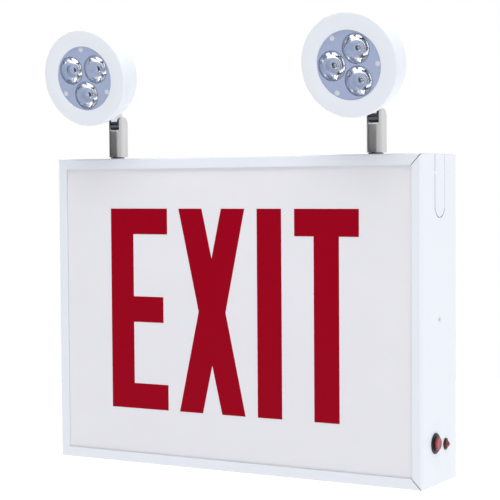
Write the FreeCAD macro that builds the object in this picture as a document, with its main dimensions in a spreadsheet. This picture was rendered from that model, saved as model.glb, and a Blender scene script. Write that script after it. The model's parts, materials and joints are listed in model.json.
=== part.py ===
import FreeCAD, Part
import math
import os
import re
import Sketcher

# Emergency exit light: a folded steel box with a lit face, and two lamp heads
# that pan and tilt on folded knuckles.
# X runs to the right as seen from the front, -Y is the front, +Z is up.
# The origin is the middle of the back wall's outer face, where the wall is.

sizes = {
    # steel box
    "boxWidth": 410.0,
    "boxHeight": 310.0,
    "boxDepth": 82.0,
    "sheetWall": 1.2,
    "frameSide": 10.0,
    "frameTop": 10.6,
    "frameBottom": 10.4,
    "bendRadius": 1.6,
    "coverBend": 3.0,
    "coverGap": 0.4,
    "mitreGap": 0.9,
    "rearFlange": 14.0,
    # lit face
    "faceThickness": 2.5,
    "faceGap": 0.5,
    "railSheet": 1.0,
    "railLeg": 8.0,
    "railDepth": 12.0,
    "railEnd": 12.0,
    "railClearance": 0.3,
    # knock-outs and wall fixings
    "scoreWidth": 0.8,
    "scoreDepth": 0.6,
    "tearWidth": 23.1,
    "tearLength": 59.5,
    "tearTie": 29.5,
    "tieWidth": 1.6,
    "tearInFromFront": 42.5,
    "knockoutRadius": 11.1,
    "boxScrewSpacing": 88.9,
    "boxScrewSlot": 12.0,
    "boxScrewRadius": 2.4,
    "keyholeSpread": 300.0,
    "keyholeRise": 100.0,
    "keyholeRadius": 4.6,
    "keyholeNeck": 2.3,
    "keyholeLength": 9.0,
    # screw that holds the side cover
    "coverScrewRadius": 1.95,
    "coverScrewHead": 3.7,
    "coverScrewLength": 9.0,
    "screwClearance": 0.05,
    "lugWidth": 16.0,
    "lugFoot": 14.0,
    "lugSheet": 1.5,
    # test switch
    "switchFromFront": 30.6,
    "switchHeight": 39.8,
    "buttonRadius": 6.0,
    "buttonProud": 5.2,
    "buttonLength": 11.0,
    "buttonTravel": 2.0,
    "buttonEdge": 1.0,
    "runningGap": 0.08,
    "bushingRadius": 7.8,
    "switchRingRadius": 9.9,
    "switchRingHeight": 2.4,
    "switchBlock": 17.0,
    "switchBlockDepth": 15.0,
    "contactRadius": 1.0,
    "contactLength": 5.0,
    # indicator
    "lampFromFront": 55.0,
    "lampHeight": 36.0,
    "lampRadiusSmall": 2.5,
    "lampProud": 5.4,
    "lampRimRadius": 5.6,
    "lampRimHeight": 1.8,
    "lampSleeveRadius": 3.9,
    "lampSleeveLength": 7.0,
    "lampNutRadius": 6.2,
    "lampNutHeight": 2.6,
    # light strips
    "stripWidth": 10.0,
    "stripThickness": 1.6,
    "stripLength": 370.0,
    "stripFromBack": 28.0,
    "chipSize": 3.4,
    "chipHeight": 1.0,
    "chipSpacing": 32.0,
    # charger board
    "boardWidth": 104.0,
    "boardHeight": 62.0,
    "boardThickness": 1.6,
    "boardX": 70.0,
    "boardFromBottom": 71.0,
    "postHeight": 8.0,
    "postRadius": 3.2,
    "boardScrewRadius": 1.5,
    "boardScrewHead": 2.8,
    "boardInset": 5.0,
    "coreWidth": 38.0,
    "coreHeight": 32.0,
    "coreDepth": 14.0,
    "coilWidth": 24.0,
    "coilHeight": 42.0,
    "coilDepth": 24.0,
    "capacitorRadius": 5.0,
    "capacitorLength": 16.0,
    "terminalWidth": 40.0,
    "terminalHeight": 12.0,
    "terminalDepth": 14.0,
    # battery
    "cellRadius": 11.3,
    "cellLength": 86.0,
    "packWidth": 70.0,
    "packX": -92.0,
    "packFromBottom": 71.0,
    "strapWidth": 14.0,
    "strapSheet": 1.0,
    "strapFoot": 12.0,
    # lamp knuckle
    "stemFromEnd": 57.5,
    "stemFromFront": 25.0,
    "stemWidth": 14.6,
    "stemDepth": 14.2,
    "stemSheet": 1.2,
    "stemCorner": 3.4,
    "pivotHeight": 36.0,
    "webShort": 9.0,
    "footWasher": 1.6,
    "washerRadius": 7.2,
    "panGap": 0.3,
    "nippleRadius": 4.95,
    "nippleBore": 3.6,
    "nippleFlange": 5.9,
    "nippleFlangeHeight": 1.4,
    "nippleDrop": 13.0,
    "panClearance": 0.05,
    "nutFlats": 15.0,
    "nutHeight": 5.0,
    "springWasherRadius": 8.0,
    "springWasherHeight": 0.8,
    "pinRadius": 2.0,
    "pinClearance": 0.06,
    "barrelRadius": 5.2,
    "barrelHalf": 4.2,
    "hubRadius": 4.0,
    "hubSideGap": 0.3,
    # lamp head
    "headTilt": 11.5,
    "pivotBack": 48.0,
    "pivotDrop": 54.5,
    "headRadius": 48.5,
    "headBackRadius": 45.7,
    "headDepth": 30.0,
    "headWall": 2.0,
    "headBackRound": 4.5,
    "ringDepth": 8.0,
    "ringRound": 1.6,
    "apertureRadius": 32.2,
    "ringLip": 1.0,
    "ringFront": 2.4,
    "spigotDepth": 3.0,
    "spigotWall": 1.6,
    "spigotGap": 0.2,
    "neckHalf": 3.6,
    "neckBack": 5.4,
    "neckSeat": 3.0,
    "neckFront": 7.0,
    "neckStart": 12.0,
    "neckTop": 18.0,
    "neckLow": 40.0,
    "tongueWidth": 4.2,
    "tongueDepth": 5.0,
    "tongueHeight": 15.0,
    "seatGap": 0.05,
    "lensMargin": 4.2,
    "lensThickness": 2.0,
    "skirtWall": 2.0,
    "lensDrop": 12.6,
    "opticPitch": 17.0,
    "opticRadius": 13.9,
    "opticSeat": 1.2,
    "opticGap": 0.15,
    "opticDepth": 8.6,
    "opticFoot": 4.4,
    "opticWell": 6.0,
    "opticWellDepth": 4.0,
    "bossPitch": 29.0,
    "bossRadius": 1.5,
    "bossHeight": 0.4,
    "rightLensTurn": 60.0,
    "leftLensTurn": 30.0,
    "ledBoardRadius": 33.8,
    "ledBoardThickness": 1.6,
    "emitterBase": 3.5,
    "emitterBaseHeight": 0.8,
    "emitterDome": 1.5,
    "sinkRadius": 43.0,
    "sinkPlate": 3.0,
    "finThickness": 1.6,
    "finHeight": 8.0,
    "finSpacing": 9.0,
    "finReach": 35.0,
    "postPitch": 39.8,
    "headPostRadius": 3.0,
    "headScrewRadius": 1.4,
    "headScrewHead": 2.4,
    "headScrewHeadHeight": 1.3,
    "headScrewLength": 9.0,
}

doc = FreeCAD.newDocument("ExitLight")
sheet = doc.addObject("Spreadsheet::Sheet", "Sizes")
for row, (alias, value) in enumerate(sizes.items(), 1):
    sheet.set("A%d" % row, alias)
    sheet.set("B%d" % row, str(value))
    sheet.setAlias("B%d" % row, alias)
doc.recompute()

subParts = []
V = FreeCAD.Vector


def ex(words):
    """A formula in the sheet's names, as FreeCAD writes it."""
    return re.sub(r"[A-Za-z]\w*", lambda m: "Sizes." + m.group() if m.group() in sizes else m.group(), words)


def bind(thing, **formulas):
    for name, words in formulas.items():
        thing.setExpression(name, ex(words))
    return thing


def place(thing, x="0", y="0", z="0", prefix="Placement"):
    for name, words in zip("xyz", (x, y, z)):
        if words != "0":
            thing.setExpression("%s.Base.%s" % (prefix, name), ex(words))
    return thing


def turn(thing, axis, angle):
    thing.Placement = FreeCAD.Placement(V(0, 0, 0), FreeCAD.Rotation(V(*axis), angle))
    return thing


def box(name, size, at=("0", "0", "0")):
    piece = doc.addObject("Part::Box", name)
    bind(piece, Length=size[0], Width=size[1], Height=size[2])
    return place(piece, *at)


def rod(name, radius, length, at=("0", "0", "0"), along="Z"):
    piece = doc.addObject("Part::Cylinder", name)
    if along == "X":
        turn(piece, (0, 1, 0), 90)
    if along == "Y":
        turn(piece, (1, 0, 0), -90)
    bind(piece, Radius=radius, Height=length)
    return place(piece, *at)


def cone(name, radius1, radius2, length, at=("0", "0", "0"), along="Z"):
    piece = doc.addObject("Part::Cone", name)
    if along == "X":
        turn(piece, (0, 1, 0), 90)
    bind(piece, Radius1=radius1, Radius2=radius2, Height=length)
    return place(piece, *at)


def joined(name, pieces):
    result = doc.addObject("Part::MultiFuse", name)
    result.Shapes = pieces
    result.Refine = True
    return result


def group(name, pieces):
    result = doc.addObject("Part::Compound", name)
    result.Links = pieces
    return result


def cut(name, base, tool):
    result = doc.addObject("Part::Cut", name)
    result.Base = base
    result.Tool = tool
    result.Refine = True
    return result


def common(name, first, second):
    result = doc.addObject("Part::MultiCommon", name)
    result.Shapes = [first, second]
    result.Refine = True
    return result


def subPart(thing, label):
    thing.Label = label
    subParts.append(thing)
    return thing


def newBody(name):
    return doc.addObject("PartDesign::Body", name)


def sketchOn(body, plane, offset=None):
    """A sketch on one of the body's own planes, moved along its normal by a formula."""
    sketch = body.newObject("Sketcher::SketchObject", body.Name + "Sketch")
    support = [f for f in body.Origin.OriginFeatures if f.Role == plane][0]
    sketch.AttachmentSupport = (support, [""])
    sketch.MapMode = "FlatFace"
    if offset:
        place(sketch, z=offset, prefix="AttachmentOffset")
    return sketch


def fixPoint(sketch, item, end, x, y, guess):
    for kind, words, start in (("DistanceX", x, guess[0]), ("DistanceY", y, guess[1])):
        index = sketch.addConstraint(Sketcher.Constraint(kind, item, end, start))
        sketch.setExpression("Constraints[%d]" % index, ex(words))


def outline(sketch, corners):
    """A closed outline of straight lines through the corners, each a pair of formulas."""
    count = len(corners)
    ring = [V(10 * math.cos(6.283 * n / count), 10 * math.sin(6.283 * n / count), 0) for n in range(count)]
    first = sketch.GeometryCount
    for n in range(count):
        sketch.addGeometry(Part.LineSegment(ring[n], ring[(n + 1) % count]), False)
    for n in range(count):
        following = first + (n + 1) % count
        sketch.addConstraint(Sketcher.Constraint("Coincident", first + n, 2, following, 1))
    for n, (x, y) in enumerate(corners):
        fixPoint(sketch, first + n, 1, x, y, ring[n])


def circle(sketch, radius, x="0", y="0"):
    item = sketch.addGeometry(Part.Circle(V(1, 1, 0), V(0, 0, 1), 1), False)
    fixPoint(sketch, item, 3, x, y, (1, 1))
    index = sketch.addConstraint(Sketcher.Constraint("Radius", item, 1))
    sketch.setExpression("Constraints[%d]" % index, ex(radius))


def pad(body, sketch, length, midplane=False, reverse=False):
    feature = body.newObject("PartDesign::Pad", body.Name + "Pad")
    feature.Profile = sketch
    feature.Midplane = midplane
    feature.Reversed = reverse
    return bind(feature, Length=length)


def pocket(body, sketch, depth, midplane=False, reverse=False):
    doc.recompute()
    before = body.Shape.Volume
    feature = body.newObject("PartDesign::Pocket", body.Name + "Pocket")
    feature.Profile = sketch
    feature.Midplane = midplane
    feature.Reversed = reverse
    bind(feature, Length=depth)
    doc.recompute()
    if body.Shape.Volume >= before:
        raise ValueError("a pocket in %s cuts nothing" % body.Name)
    return feature


def revolve(body, sketch):
    feature = body.newObject("PartDesign::Revolution", body.Name + "Turned")
    feature.Profile = sketch
    feature.ReferenceAxis = (sketch, ["V_Axis"])
    feature.Angle = 360
    return feature


def rounded(body, radius, chosen):
    """Rounds the edges of the body that chosen picks by their middle and their ends."""
    doc.recompute()
    names = []
    for n, edge in enumerate(body.Shape.Edges, 1):
        low, high = edge.BoundBox, edge.BoundBox
        if chosen(low.XMin, high.XMax, low.YMin, high.YMax, low.ZMin, high.ZMax, edge):
            names.append("Edge%d" % n)
    if not names:
        raise ValueError("no edge to round in %s" % body.Name)
    base = body.Tip
    feature = body.newObject("PartDesign::Fillet", body.Name + "Round")
    feature.Base = (base, names)
    return bind(feature, Radius=radius)


def near(a, b):
    return abs(a - b) < 0.01


def ringOf(count, pitch, start, n):
    """Formulas for the n-th of evenly spaced places on a circle."""
    angle = "((%s) + %g) * 1 deg" % (start, 360.0 * n / count)
    return "(%s) * cos(%s)" % (pitch, angle), "(%s) * sin(%s)" % (pitch, angle)


# steel box

left = "-boxWidth / 2"
right = "boxWidth / 2"
top = "boxHeight / 2"
bottom = "-boxHeight / 2"
shellEnd = "(boxWidth / 2 - sheetWall - coverGap)"


def scored(name, radius, straight):
    """The tool that scores a round-ended knock-out into a sheet."""
    outer = joined(name + "Outer", [
        rod(name + "OuterEnd", "%s + scoreWidth / 2" % radius, "scoreDepth"),
        box(name + "OuterRun", ("2 * (%s) + scoreWidth" % radius, straight, "scoreDepth"),
            ("-(%s) - scoreWidth / 2" % radius, "0", "0")),
    ])
    inner = joined(name + "Inner", [
        rod(name + "InnerEnd", "%s - scoreWidth / 2" % radius, "scoreDepth"),
        box(name + "InnerRun", ("2 * (%s) - scoreWidth" % radius, straight, "scoreDepth"),
            ("-(%s) + scoreWidth / 2" % radius, "0", "0")),
    ])
    return cut(name + "Score", outer, inner)


def knockout(name):
    """The tool that scores a round knock-out, with two ties left standing."""
    ring = cut(name + "Ring", rod(name + "Out", "knockoutRadius + scoreWidth / 2", "2 * scoreDepth",
                                  ("0", "0", "-scoreDepth")),
               rod(name + "In", "knockoutRadius - scoreWidth / 2", "2 * scoreDepth",
                   ("0", "0", "-scoreDepth")))
    tie = box(name + "Tie", ("3 * knockoutRadius", "tieWidth", "2 * scoreDepth"),
              ("-1.5 * knockoutRadius", "-tieWidth / 2", "-scoreDepth"))
    return cut(name + "Tool", ring, tie)


def keyhole(name, x):
    """A keyhole in the back wall: the head goes in below and slides up its neck."""
    wide = rod(name + "Wide", "keyholeRadius", "3 * sheetWall", (x, "-2 * sheetWall", "keyholeRise"), "Y")
    end = rod(name + "End", "keyholeNeck", "3 * sheetWall",
              (x, "-2 * sheetWall", "keyholeRise + keyholeLength"), "Y")
    neck = box(name + "Neck", ("2 * keyholeNeck", "3 * sheetWall", "keyholeLength"),
               ("(%s) - keyholeNeck" % x, "-2 * sheetWall", "keyholeRise"))
    return joined(name, [wide, end, neck])


def boxSlot(name, x):
    """A slot for one screw of a ceiling or wall box."""
    run = box(name + "Run", ("boxScrewSlot - 2 * boxScrewRadius", "3 * sheetWall", "2 * boxScrewRadius"),
              ("(%s) - boxScrewSlot / 2 + boxScrewRadius" % x, "-2 * sheetWall", "-boxScrewRadius"))
    ends = [rod(name + "End%d" % n, "boxScrewRadius", "3 * sheetWall",
                ("(%s) + %d * (boxScrewSlot / 2 - boxScrewRadius)" % (x, n), "-2 * sheetWall", "0"), "Y")
            for n in (-1, 1)]
    return joined(name, [run] + ends)


def housingShell():
    """One folded sheet: back, top, left and bottom walls, and the front frame's three strips."""
    body = newBody("shell")
    face = sketchOn(body, "XZ_Plane")
    outline(face, [(left, bottom), (shellEnd, bottom), (shellEnd, top), (left, top)])
    pad(body, face, "boxDepth")
    front = -sizes["boxDepth"]
    endX = sizes["boxWidth"] / 2 - sizes["sheetWall"] - sizes["coverGap"]
    rounded(body, "bendRadius",
            lambda x0, x1, y0, y1, z0, z1, e: near(y0, front) and near(y1, front) and not near(x0, endX))
    hollow = sketchOn(body, "YZ_Plane", shellEnd)
    outline(hollow, [("-boxDepth + sheetWall", "%s + sheetWall" % bottom),
                     ("-sheetWall", "%s + sheetWall" % bottom),
                     ("-sheetWall", "%s - sheetWall" % top),
                     ("-boxDepth + sheetWall", "%s - sheetWall" % top)])
    pocket(body, hollow, "%s + boxWidth / 2 - sheetWall" % shellEnd)
    window = sketchOn(body, "XZ_Plane", "boxDepth")
    outline(window, [("%s + frameSide" % left, "%s + frameBottom" % bottom),
                     (right, "%s + frameBottom" % bottom),
                     (right, "%s - frameTop" % top),
                     ("%s + frameSide" % left, "%s - frameTop" % top)])
    pocket(body, window, "2 * sheetWall")
    for edge, strip, sign in ((top, "frameTop", 1), (bottom, "frameBottom", -1)):
        mitre = sketchOn(body, "XZ_Plane", "boxDepth")
        reach = "%d * 1.2 * %s" % (sign, strip)
        back = "%d * 0.2 * %s" % (sign, strip)
        outline(mitre, [("%s - 1.2 * frameSide - mitreGap" % right, "%s - %s" % (edge, reach)),
                        ("%s + 0.2 * frameSide - mitreGap" % right, "%s + %s" % (edge, back)),
                        ("%s + frameSide" % right, "%s + %s" % (edge, back)),
                        ("%s + frameSide" % right, "%s - %s" % (edge, reach))])
        pocket(body, mitre, "sheetWall + coverBend")
    back = turn(knockout("backKnockout"), (1, 0, 0), 90)
    ceiling = place(knockout("topKnockout"), y="-boxDepth / 2", z=top)
    tools = [back, ceiling,
             keyhole("keyholeLeft", "-keyholeSpread / 2"), keyhole("keyholeRight", "keyholeSpread / 2"),
             boxSlot("slotLeft", "-boxScrewSpacing / 2"), boxSlot("slotRight", "boxScrewSpacing / 2")]
    for side, sign in (("Left", "-"), ("Right", "")):
        tools.append(rod("panHole" + side, "nippleRadius + panClearance", "4 * sheetWall",
                         (sign + "(boxWidth / 2 - stemFromEnd)", "-boxDepth + stemFromFront",
                          "%s - 2 * sheetWall" % top)))
    subPart(cut("housingShell", body, joined("shellTools", tools)), "housing_shell")


def sideCover():
    """The removable right end: a folded channel with its own front strip and a rear flange."""
    body = newBody("cover")
    low = "%s + coverGap" % bottom
    tall = "boxHeight - 2 * coverGap"
    section = sketchOn(body, "XY_Plane", low)
    outline(section, [("%s - frameSide" % right, "-boxDepth"),
                      (right, "-boxDepth"),
                      (right, "-sheetWall"),
                      ("%s - rearFlange" % right, "-sheetWall"),
                      ("%s - rearFlange" % right, "-2 * sheetWall"),
                      ("%s - sheetWall" % right, "-2 * sheetWall"),
                      ("%s - sheetWall" % right, "-boxDepth + sheetWall"),
                      ("%s - frameSide" % right, "-boxDepth + sheetWall")])
    pad(body, section, tall)
    outer = sizes["boxWidth"] / 2
    front = -sizes["boxDepth"]
    wall = sizes["sheetWall"]
    rounded(body, "coverBend",
            lambda x0, x1, y0, y1, z0, z1, e: near(x0, outer) and near(x1, outer) and near(y1, front))
    rounded(body, "coverBend - sheetWall",
            lambda x0, x1, y0, y1, z0, z1, e: near(x0, outer - wall) and near(x1, outer - wall)
            and near(y1, front + wall))
    for edge, strip, sign in ((top, "frameTop", 1), (bottom, "frameBottom", -1)):
        mitre = sketchOn(body, "XZ_Plane", "boxDepth")
        outline(mitre, [("%s - 1.2 * frameSide" % right, "%s - %d * 1.2 * %s" % (edge, sign, strip)),
                        ("%s + 0.2 * frameSide" % right, "%s + %d * 0.2 * %s" % (edge, sign, strip)),
                        ("%s - 1.2 * frameSide" % right, "%s + %d * 0.2 * %s" % (edge, sign, strip))])
        pocket(body, mitre, "sheetWall + coverBend")
    for edge, sign in ((top, 1), (bottom, -1)):  # the rear flange stands clear of the shell's walls
        relief = sketchOn(body, "XZ_Plane")
        clear = "%s - %d * (sheetWall + coverGap)" % (edge, sign)
        beyond = "%s + %d * sheetWall" % (edge, sign)
        inner = "%s - sheetWall - coverGap / 2" % right
        outline(relief, [("%s - 2 * rearFlange" % right, clear), (inner, clear),
                         (inner, beyond), ("%s - 2 * rearFlange" % right, beyond)])
        pocket(body, relief, "4 * sheetWall", reverse=True)
    tear = scored("tear", "tearWidth / 2", "tearLength")
    ties = [box("tearTieTool%d" % n, ("tieWidth", "tieWidth", "3 * scoreDepth"), at)
            for n, at in enumerate((("-tearWidth / 2 - tieWidth / 2", "tearTie", "-scoreDepth"),
                                    ("tearWidth / 2 - tieWidth / 2", "tearTie", "-scoreDepth"),
                                    ("-tieWidth / 2", "-tearWidth / 2 - tieWidth / 2", "-scoreDepth")))]
    tearTool = cut("tearTool", tear, joined("tearTies", ties))
    tearTool.Placement = FreeCAD.Placement(V(0, 0, 0), FreeCAD.Rotation(V(1, 1, 1), 120))
    place(tearTool, "%s - scoreDepth" % right, "-boxDepth + tearInFromFront",
          "%s - tearLength + tearWidth / 2" % top)
    screwHole = cone("coverCountersink", "coverScrewRadius + screwClearance",
                     "coverScrewHead + screwClearance", "sheetWall",
                     ("%s - sheetWall" % right, "-boxDepth / 2", "0"), "X")
    switchHole = rod("switchHole", "bushingRadius + screwClearance", "3 * sheetWall",
                     ("%s - 2 * sheetWall" % right, switchY, switchZ), "X")
    lampHole = rod("lampHole", "lampSleeveRadius + screwClearance", "3 * sheetWall",
                   ("%s - 2 * sheetWall" % right, lampY, lampZ), "X")
    tools = joined("coverTools", [tearTool, screwHole, switchHole, lampHole])
    subPart(cut("sideCover", body, tools), "side_cover")


switchY = "-boxDepth + switchFromFront"
switchZ = "-boxHeight / 2 + switchHeight"
lampY = "-boxDepth + lampFromFront"
lampZ = "-boxHeight / 2 + lampHeight"
coverInside = "(boxWidth / 2 - sheetWall)"


def coverFixing():
    """The lug on the back wall that takes the cover's one countersunk screw, and the screw."""
    lugX = "boxWidth / 2 - sheetWall - lugSheet"
    arm = box("lugArm", ("lugSheet", "boxDepth / 2 + lugWidth / 2 - 2 * sheetWall", "lugWidth"),
              (lugX, "-boxDepth / 2 - lugWidth / 2", "-lugWidth / 2"))
    foot = box("lugFoot", ("lugFoot", "lugSheet", "lugWidth"),
               ("%s - lugFoot + lugSheet" % lugX, "-2 * sheetWall - lugSheet", "-lugWidth / 2"))
    hole = rod("lugHole", "coverScrewRadius + screwClearance", "3 * lugSheet",
               ("%s - lugSheet" % lugX, "-boxDepth / 2", "0"), "X")
    subPart(cut("lug", joined("lugBlank", [arm, foot]), hole), "cover_lug")
    shank = rod("coverScrewShank", "coverScrewRadius", "coverScrewLength - sheetWall",
                ("%s - coverScrewLength" % right, "-boxDepth / 2", "0"), "X")
    head = cone("coverScrewTop", "coverScrewRadius", "coverScrewHead", "sheetWall",
                ("%s - sheetWall" % right, "-boxDepth / 2", "0"), "X")
    subPart(joined("coverScrew", [shank, head]), "cover_screw")


def litFace():
    """The translucent face panel, and the two folded rails that it slides along."""
    faceY = "-boxDepth + sheetWall + faceGap"
    tall = "boxHeight - 2 * sheetWall - 2 * faceGap"
    panel = box("facePanel", ("boxWidth - sheetWall - coverBend - 2 * faceGap", "faceThickness", tall),
                ("%s + sheetWall + faceGap" % left, faceY, "%s + sheetWall" % bottom))
    subPart(panel, "face_panel")
    for name, wallZ, sign in (("top", "%s - sheetWall" % top, -1), ("bottom", "%s + sheetWall" % bottom, 1)):
        body = newBody(name + "Rail")
        section = sketchOn(body, "YZ_Plane")
        behind = "%s + faceThickness + railClearance" % faceY
        outline(section, [(behind, wallZ),
                          ("%s + railDepth" % behind, wallZ),
                          ("%s + railDepth" % behind, "%s + %d * railSheet" % (wallZ, sign)),
                          ("%s + railSheet" % behind, "%s + %d * railSheet" % (wallZ, sign)),
                          ("%s + railSheet" % behind, "%s + %d * railLeg" % (wallZ, sign)),
                          (behind, "%s + %d * railLeg" % (wallZ, sign))])
        pad(body, section, "boxWidth - 2 * sheetWall - 2 * railEnd", midplane=True)
        subPart(body, name + "_face_rail")


def lightStrips():
    """Two strips of white chips that light the face from above and below."""
    chips = []
    stripY = "-stripFromBack - stripWidth"
    for name, z, chipZ in (("top", "%s - sheetWall - stripThickness" % top,
                            "%s - sheetWall - stripThickness - chipHeight" % top),
                           ("bottom", "%s + sheetWall" % bottom, "%s + sheetWall + stripThickness" % bottom)):
        strip = box(name + "Strip", ("stripLength", "stripWidth", "stripThickness"),
                    ("-stripLength / 2", stripY, z))
        subPart(strip, name + "_light_strip")
        for n in range(11):
            x = "%d * chipSpacing - chipSize / 2" % (n - 5)
            chips.append(box(name + "Chip%d" % n, ("chipSize", "chipSize", "chipHeight"),
                             (x, "%s + stripWidth / 2 - chipSize / 2" % stripY, chipZ)))
    subPart(group("stripChips", chips), "strip_chips")


def testSwitch():
    """The push-to-test switch: block and bushing, ring, and the button that slides in it."""
    block = box("switchBlock", ("switchBlockDepth", "switchBlock", "switchBlock"),
                ("%s - switchBlockDepth" % coverInside, "%s - switchBlock / 2" % switchY,
                 "%s - switchBlock / 2" % switchZ))
    bushing = rod("switchBushing", "bushingRadius", "sheetWall + switchRingHeight",
                  (coverInside, switchY, switchZ), "X")
    contacts = [rod("switchContact%d" % n, "contactRadius", "contactLength",
                    ("%s - switchBlockDepth - contactLength" % coverInside, switchY,
                     "%s + %d * switchBlock / 4" % (switchZ, n)), "X") for n in (-1, 1)]
    bore = rod("switchBore", "buttonRadius + runningGap", "buttonLength + buttonTravel",
               ("%s + buttonProud - buttonLength - buttonTravel" % right, switchY, switchZ), "X")
    subPart(cut("switchBody", joined("switchBlank", [block, bushing] + contacts), bore), "switch_body")
    ring = newBody("switchRing")
    section = sketchOn(ring, "XZ_Plane")
    outline(section, [("bushingRadius + screwClearance", "0"), ("switchRingRadius", "0"),
                      ("switchRingRadius", "0.6 * switchRingHeight"),
                      ("switchRingRadius - 0.4 * switchRingHeight", "switchRingHeight"),
                      ("bushingRadius + screwClearance", "switchRingHeight")])
    revolve(ring, section)
    turn(ring, (0, 1, 0), 90)
    subPart(place(ring, right, switchY, switchZ), "switch_ring")
    button = newBody("button")
    section = sketchOn(button, "XZ_Plane")
    outline(section, [("0", "0"), ("buttonRadius - buttonEdge", "0"), ("buttonRadius", "-buttonEdge"),
                      ("buttonRadius", "-buttonLength"), ("0", "-buttonLength")])
    revolve(button, section)
    turn(button, (0, 1, 0), 90)
    subPart(place(button, "%s + buttonProud" % right, switchY, switchZ), "test_button")


def indicator():
    """The charge indicator: red dome, its black holder and the nut behind the cover."""
    holder = newBody("indicatorHolder")
    section = sketchOn(holder, "XZ_Plane")
    outline(section, [("lampRadiusSmall + screwClearance", "lampRimHeight"),
                      ("lampRimRadius - 0.5 * lampRimHeight", "lampRimHeight"),
                      ("lampRimRadius", "0.4 * lampRimHeight"),
                      ("lampRimRadius", "0"), ("lampSleeveRadius", "0"),
                      ("lampSleeveRadius", "-lampSleeveLength"),
                      ("lampRadiusSmall + screwClearance", "-lampSleeveLength")])
    revolve(holder, section)
    turn(holder, (0, 1, 0), 90)
    subPart(place(holder, right, lampY, lampZ), "indicator_holder")
    stem = rod("domeStem", "lampRadiusSmall", "lampSleeveLength + lampProud - lampRadiusSmall",
               ("%s - lampSleeveLength" % right, lampY, lampZ), "X")
    tip = doc.addObject("Part::Sphere", "domeTip")
    bind(tip, Radius="lampRadiusSmall")
    place(tip, "%s + lampProud - lampRadiusSmall" % right, lampY, lampZ)
    subPart(joined("indicatorDome", [stem, tip]), "indicator_dome")
    blank = doc.addObject("Part::Prism", "indicatorNutBlank")
    bind(blank, Circumradius="lampNutRadius", Height="lampNutHeight")
    turn(blank, (0, 1, 0), 90)
    place(blank, "%s - lampNutHeight" % coverInside, lampY, lampZ)
    hole = rod("indicatorNutHole", "lampSleeveRadius + screwClearance", "3 * lampNutHeight",
               ("%s - 2 * lampNutHeight" % coverInside, lampY, lampZ), "X")
    subPart(cut("indicatorNut", blank, hole), "indicator_nut")


def chargerBoard():
    """The charger and driver board on four posts, with what stands on it."""
    lift = "-sheetWall - postHeight"
    front = "%s - boardThickness" % lift
    boardZ = "boardFromBottom - boxHeight / 2"
    corners = [("boardX + %d * (boardWidth / 2 - boardInset)" % sx,
                "%s + %d * (boardHeight / 2 - boardInset)" % (boardZ, sz))
               for sx in (-1, 1) for sz in (-1, 1)]
    plate = box("boardPlate", ("boardWidth", "boardThickness", "boardHeight"),
                ("boardX - boardWidth / 2", front, "%s - boardHeight / 2" % boardZ))
    holes = [rod("boardHole%d" % n, "boardScrewRadius + screwClearance", "3 * boardThickness",
                 (x, "%s - boardThickness" % front, z), "Y") for n, (x, z) in enumerate(corners)]
    subPart(cut("board", plate, joined("boardHoles", holes)), "charger_board")
    posts = []
    screws = []
    for n, (x, z) in enumerate(corners):
        hexagon = doc.addObject("Part::Prism", "postHexagon%d" % n)
        bind(turn(hexagon, (1, 0, 0), -90), Circumradius="postRadius", Height="postHeight")
        posts.append(cut("post%d" % n, place(hexagon, x, lift, z),
                         rod("postBore%d" % n, "boardScrewRadius + screwClearance", "postHeight",
                             (x, lift, z), "Y")))
        screws.append(joined("boardScrew%d" % n, [
            rod("boardScrewShank%d" % n, "boardScrewRadius", "boardThickness + 0.7 * postHeight",
                (x, front, z), "Y"),
            rod("boardScrewTop%d" % n, "boardScrewHead", "boardScrewRadius",
                (x, "%s - boardScrewRadius" % front, z), "Y")]))
    subPart(group("boardPosts", posts), "board_posts")
    subPart(group("boardScrews", screws), "board_screws")
    coreX = "boardX + boardWidth / 4"
    core = box("core", ("coreWidth", "coreDepth", "coreHeight"),
               ("%s - coreWidth / 2" % coreX, "%s - coilDepth / 2 - coreDepth / 2" % front,
                "%s - coreHeight / 2" % boardZ))
    coil = box("coil", ("coilWidth", "coilDepth", "coilHeight"),
               ("%s - coilWidth / 2" % coreX, "%s - coilDepth" % front,
                "%s - coilHeight / 2" % boardZ))
    subPart(joined("transformer", [core, coil]), "transformer")
    cans = [rod("can%d" % n, "capacitorRadius", "capacitorLength",
                ("boardX + %d * 2.6 * capacitorRadius" % (n - 1), "%s - capacitorLength" % front,
                 "%s + boardHeight / 5" % boardZ), "Y") for n in range(2)]
    subPart(group("capacitors", cans), "capacitors")
    start = "boardX - boardWidth / 2 + boardInset + 2 * boardScrewHead"
    low = "%s - boardHeight / 4 - terminalHeight / 2" % boardZ
    block = box("terminalBlank", ("terminalWidth", "terminalDepth", "terminalHeight"),
                (start, "%s - terminalDepth" % front, low))
    ways = [box("way%d" % n, ("0.12 * terminalWidth", "0.4 * terminalDepth", "0.5 * terminalHeight"),
                ("%s + (%g) * terminalWidth" % (start, 0.04 + 0.2 * n),
                 "%s - 0.8 * terminalDepth" % front, low))
            for n in range(5)]
    subPart(cut("terminals", block, joined("ways", ways)), "terminal_block")


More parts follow.
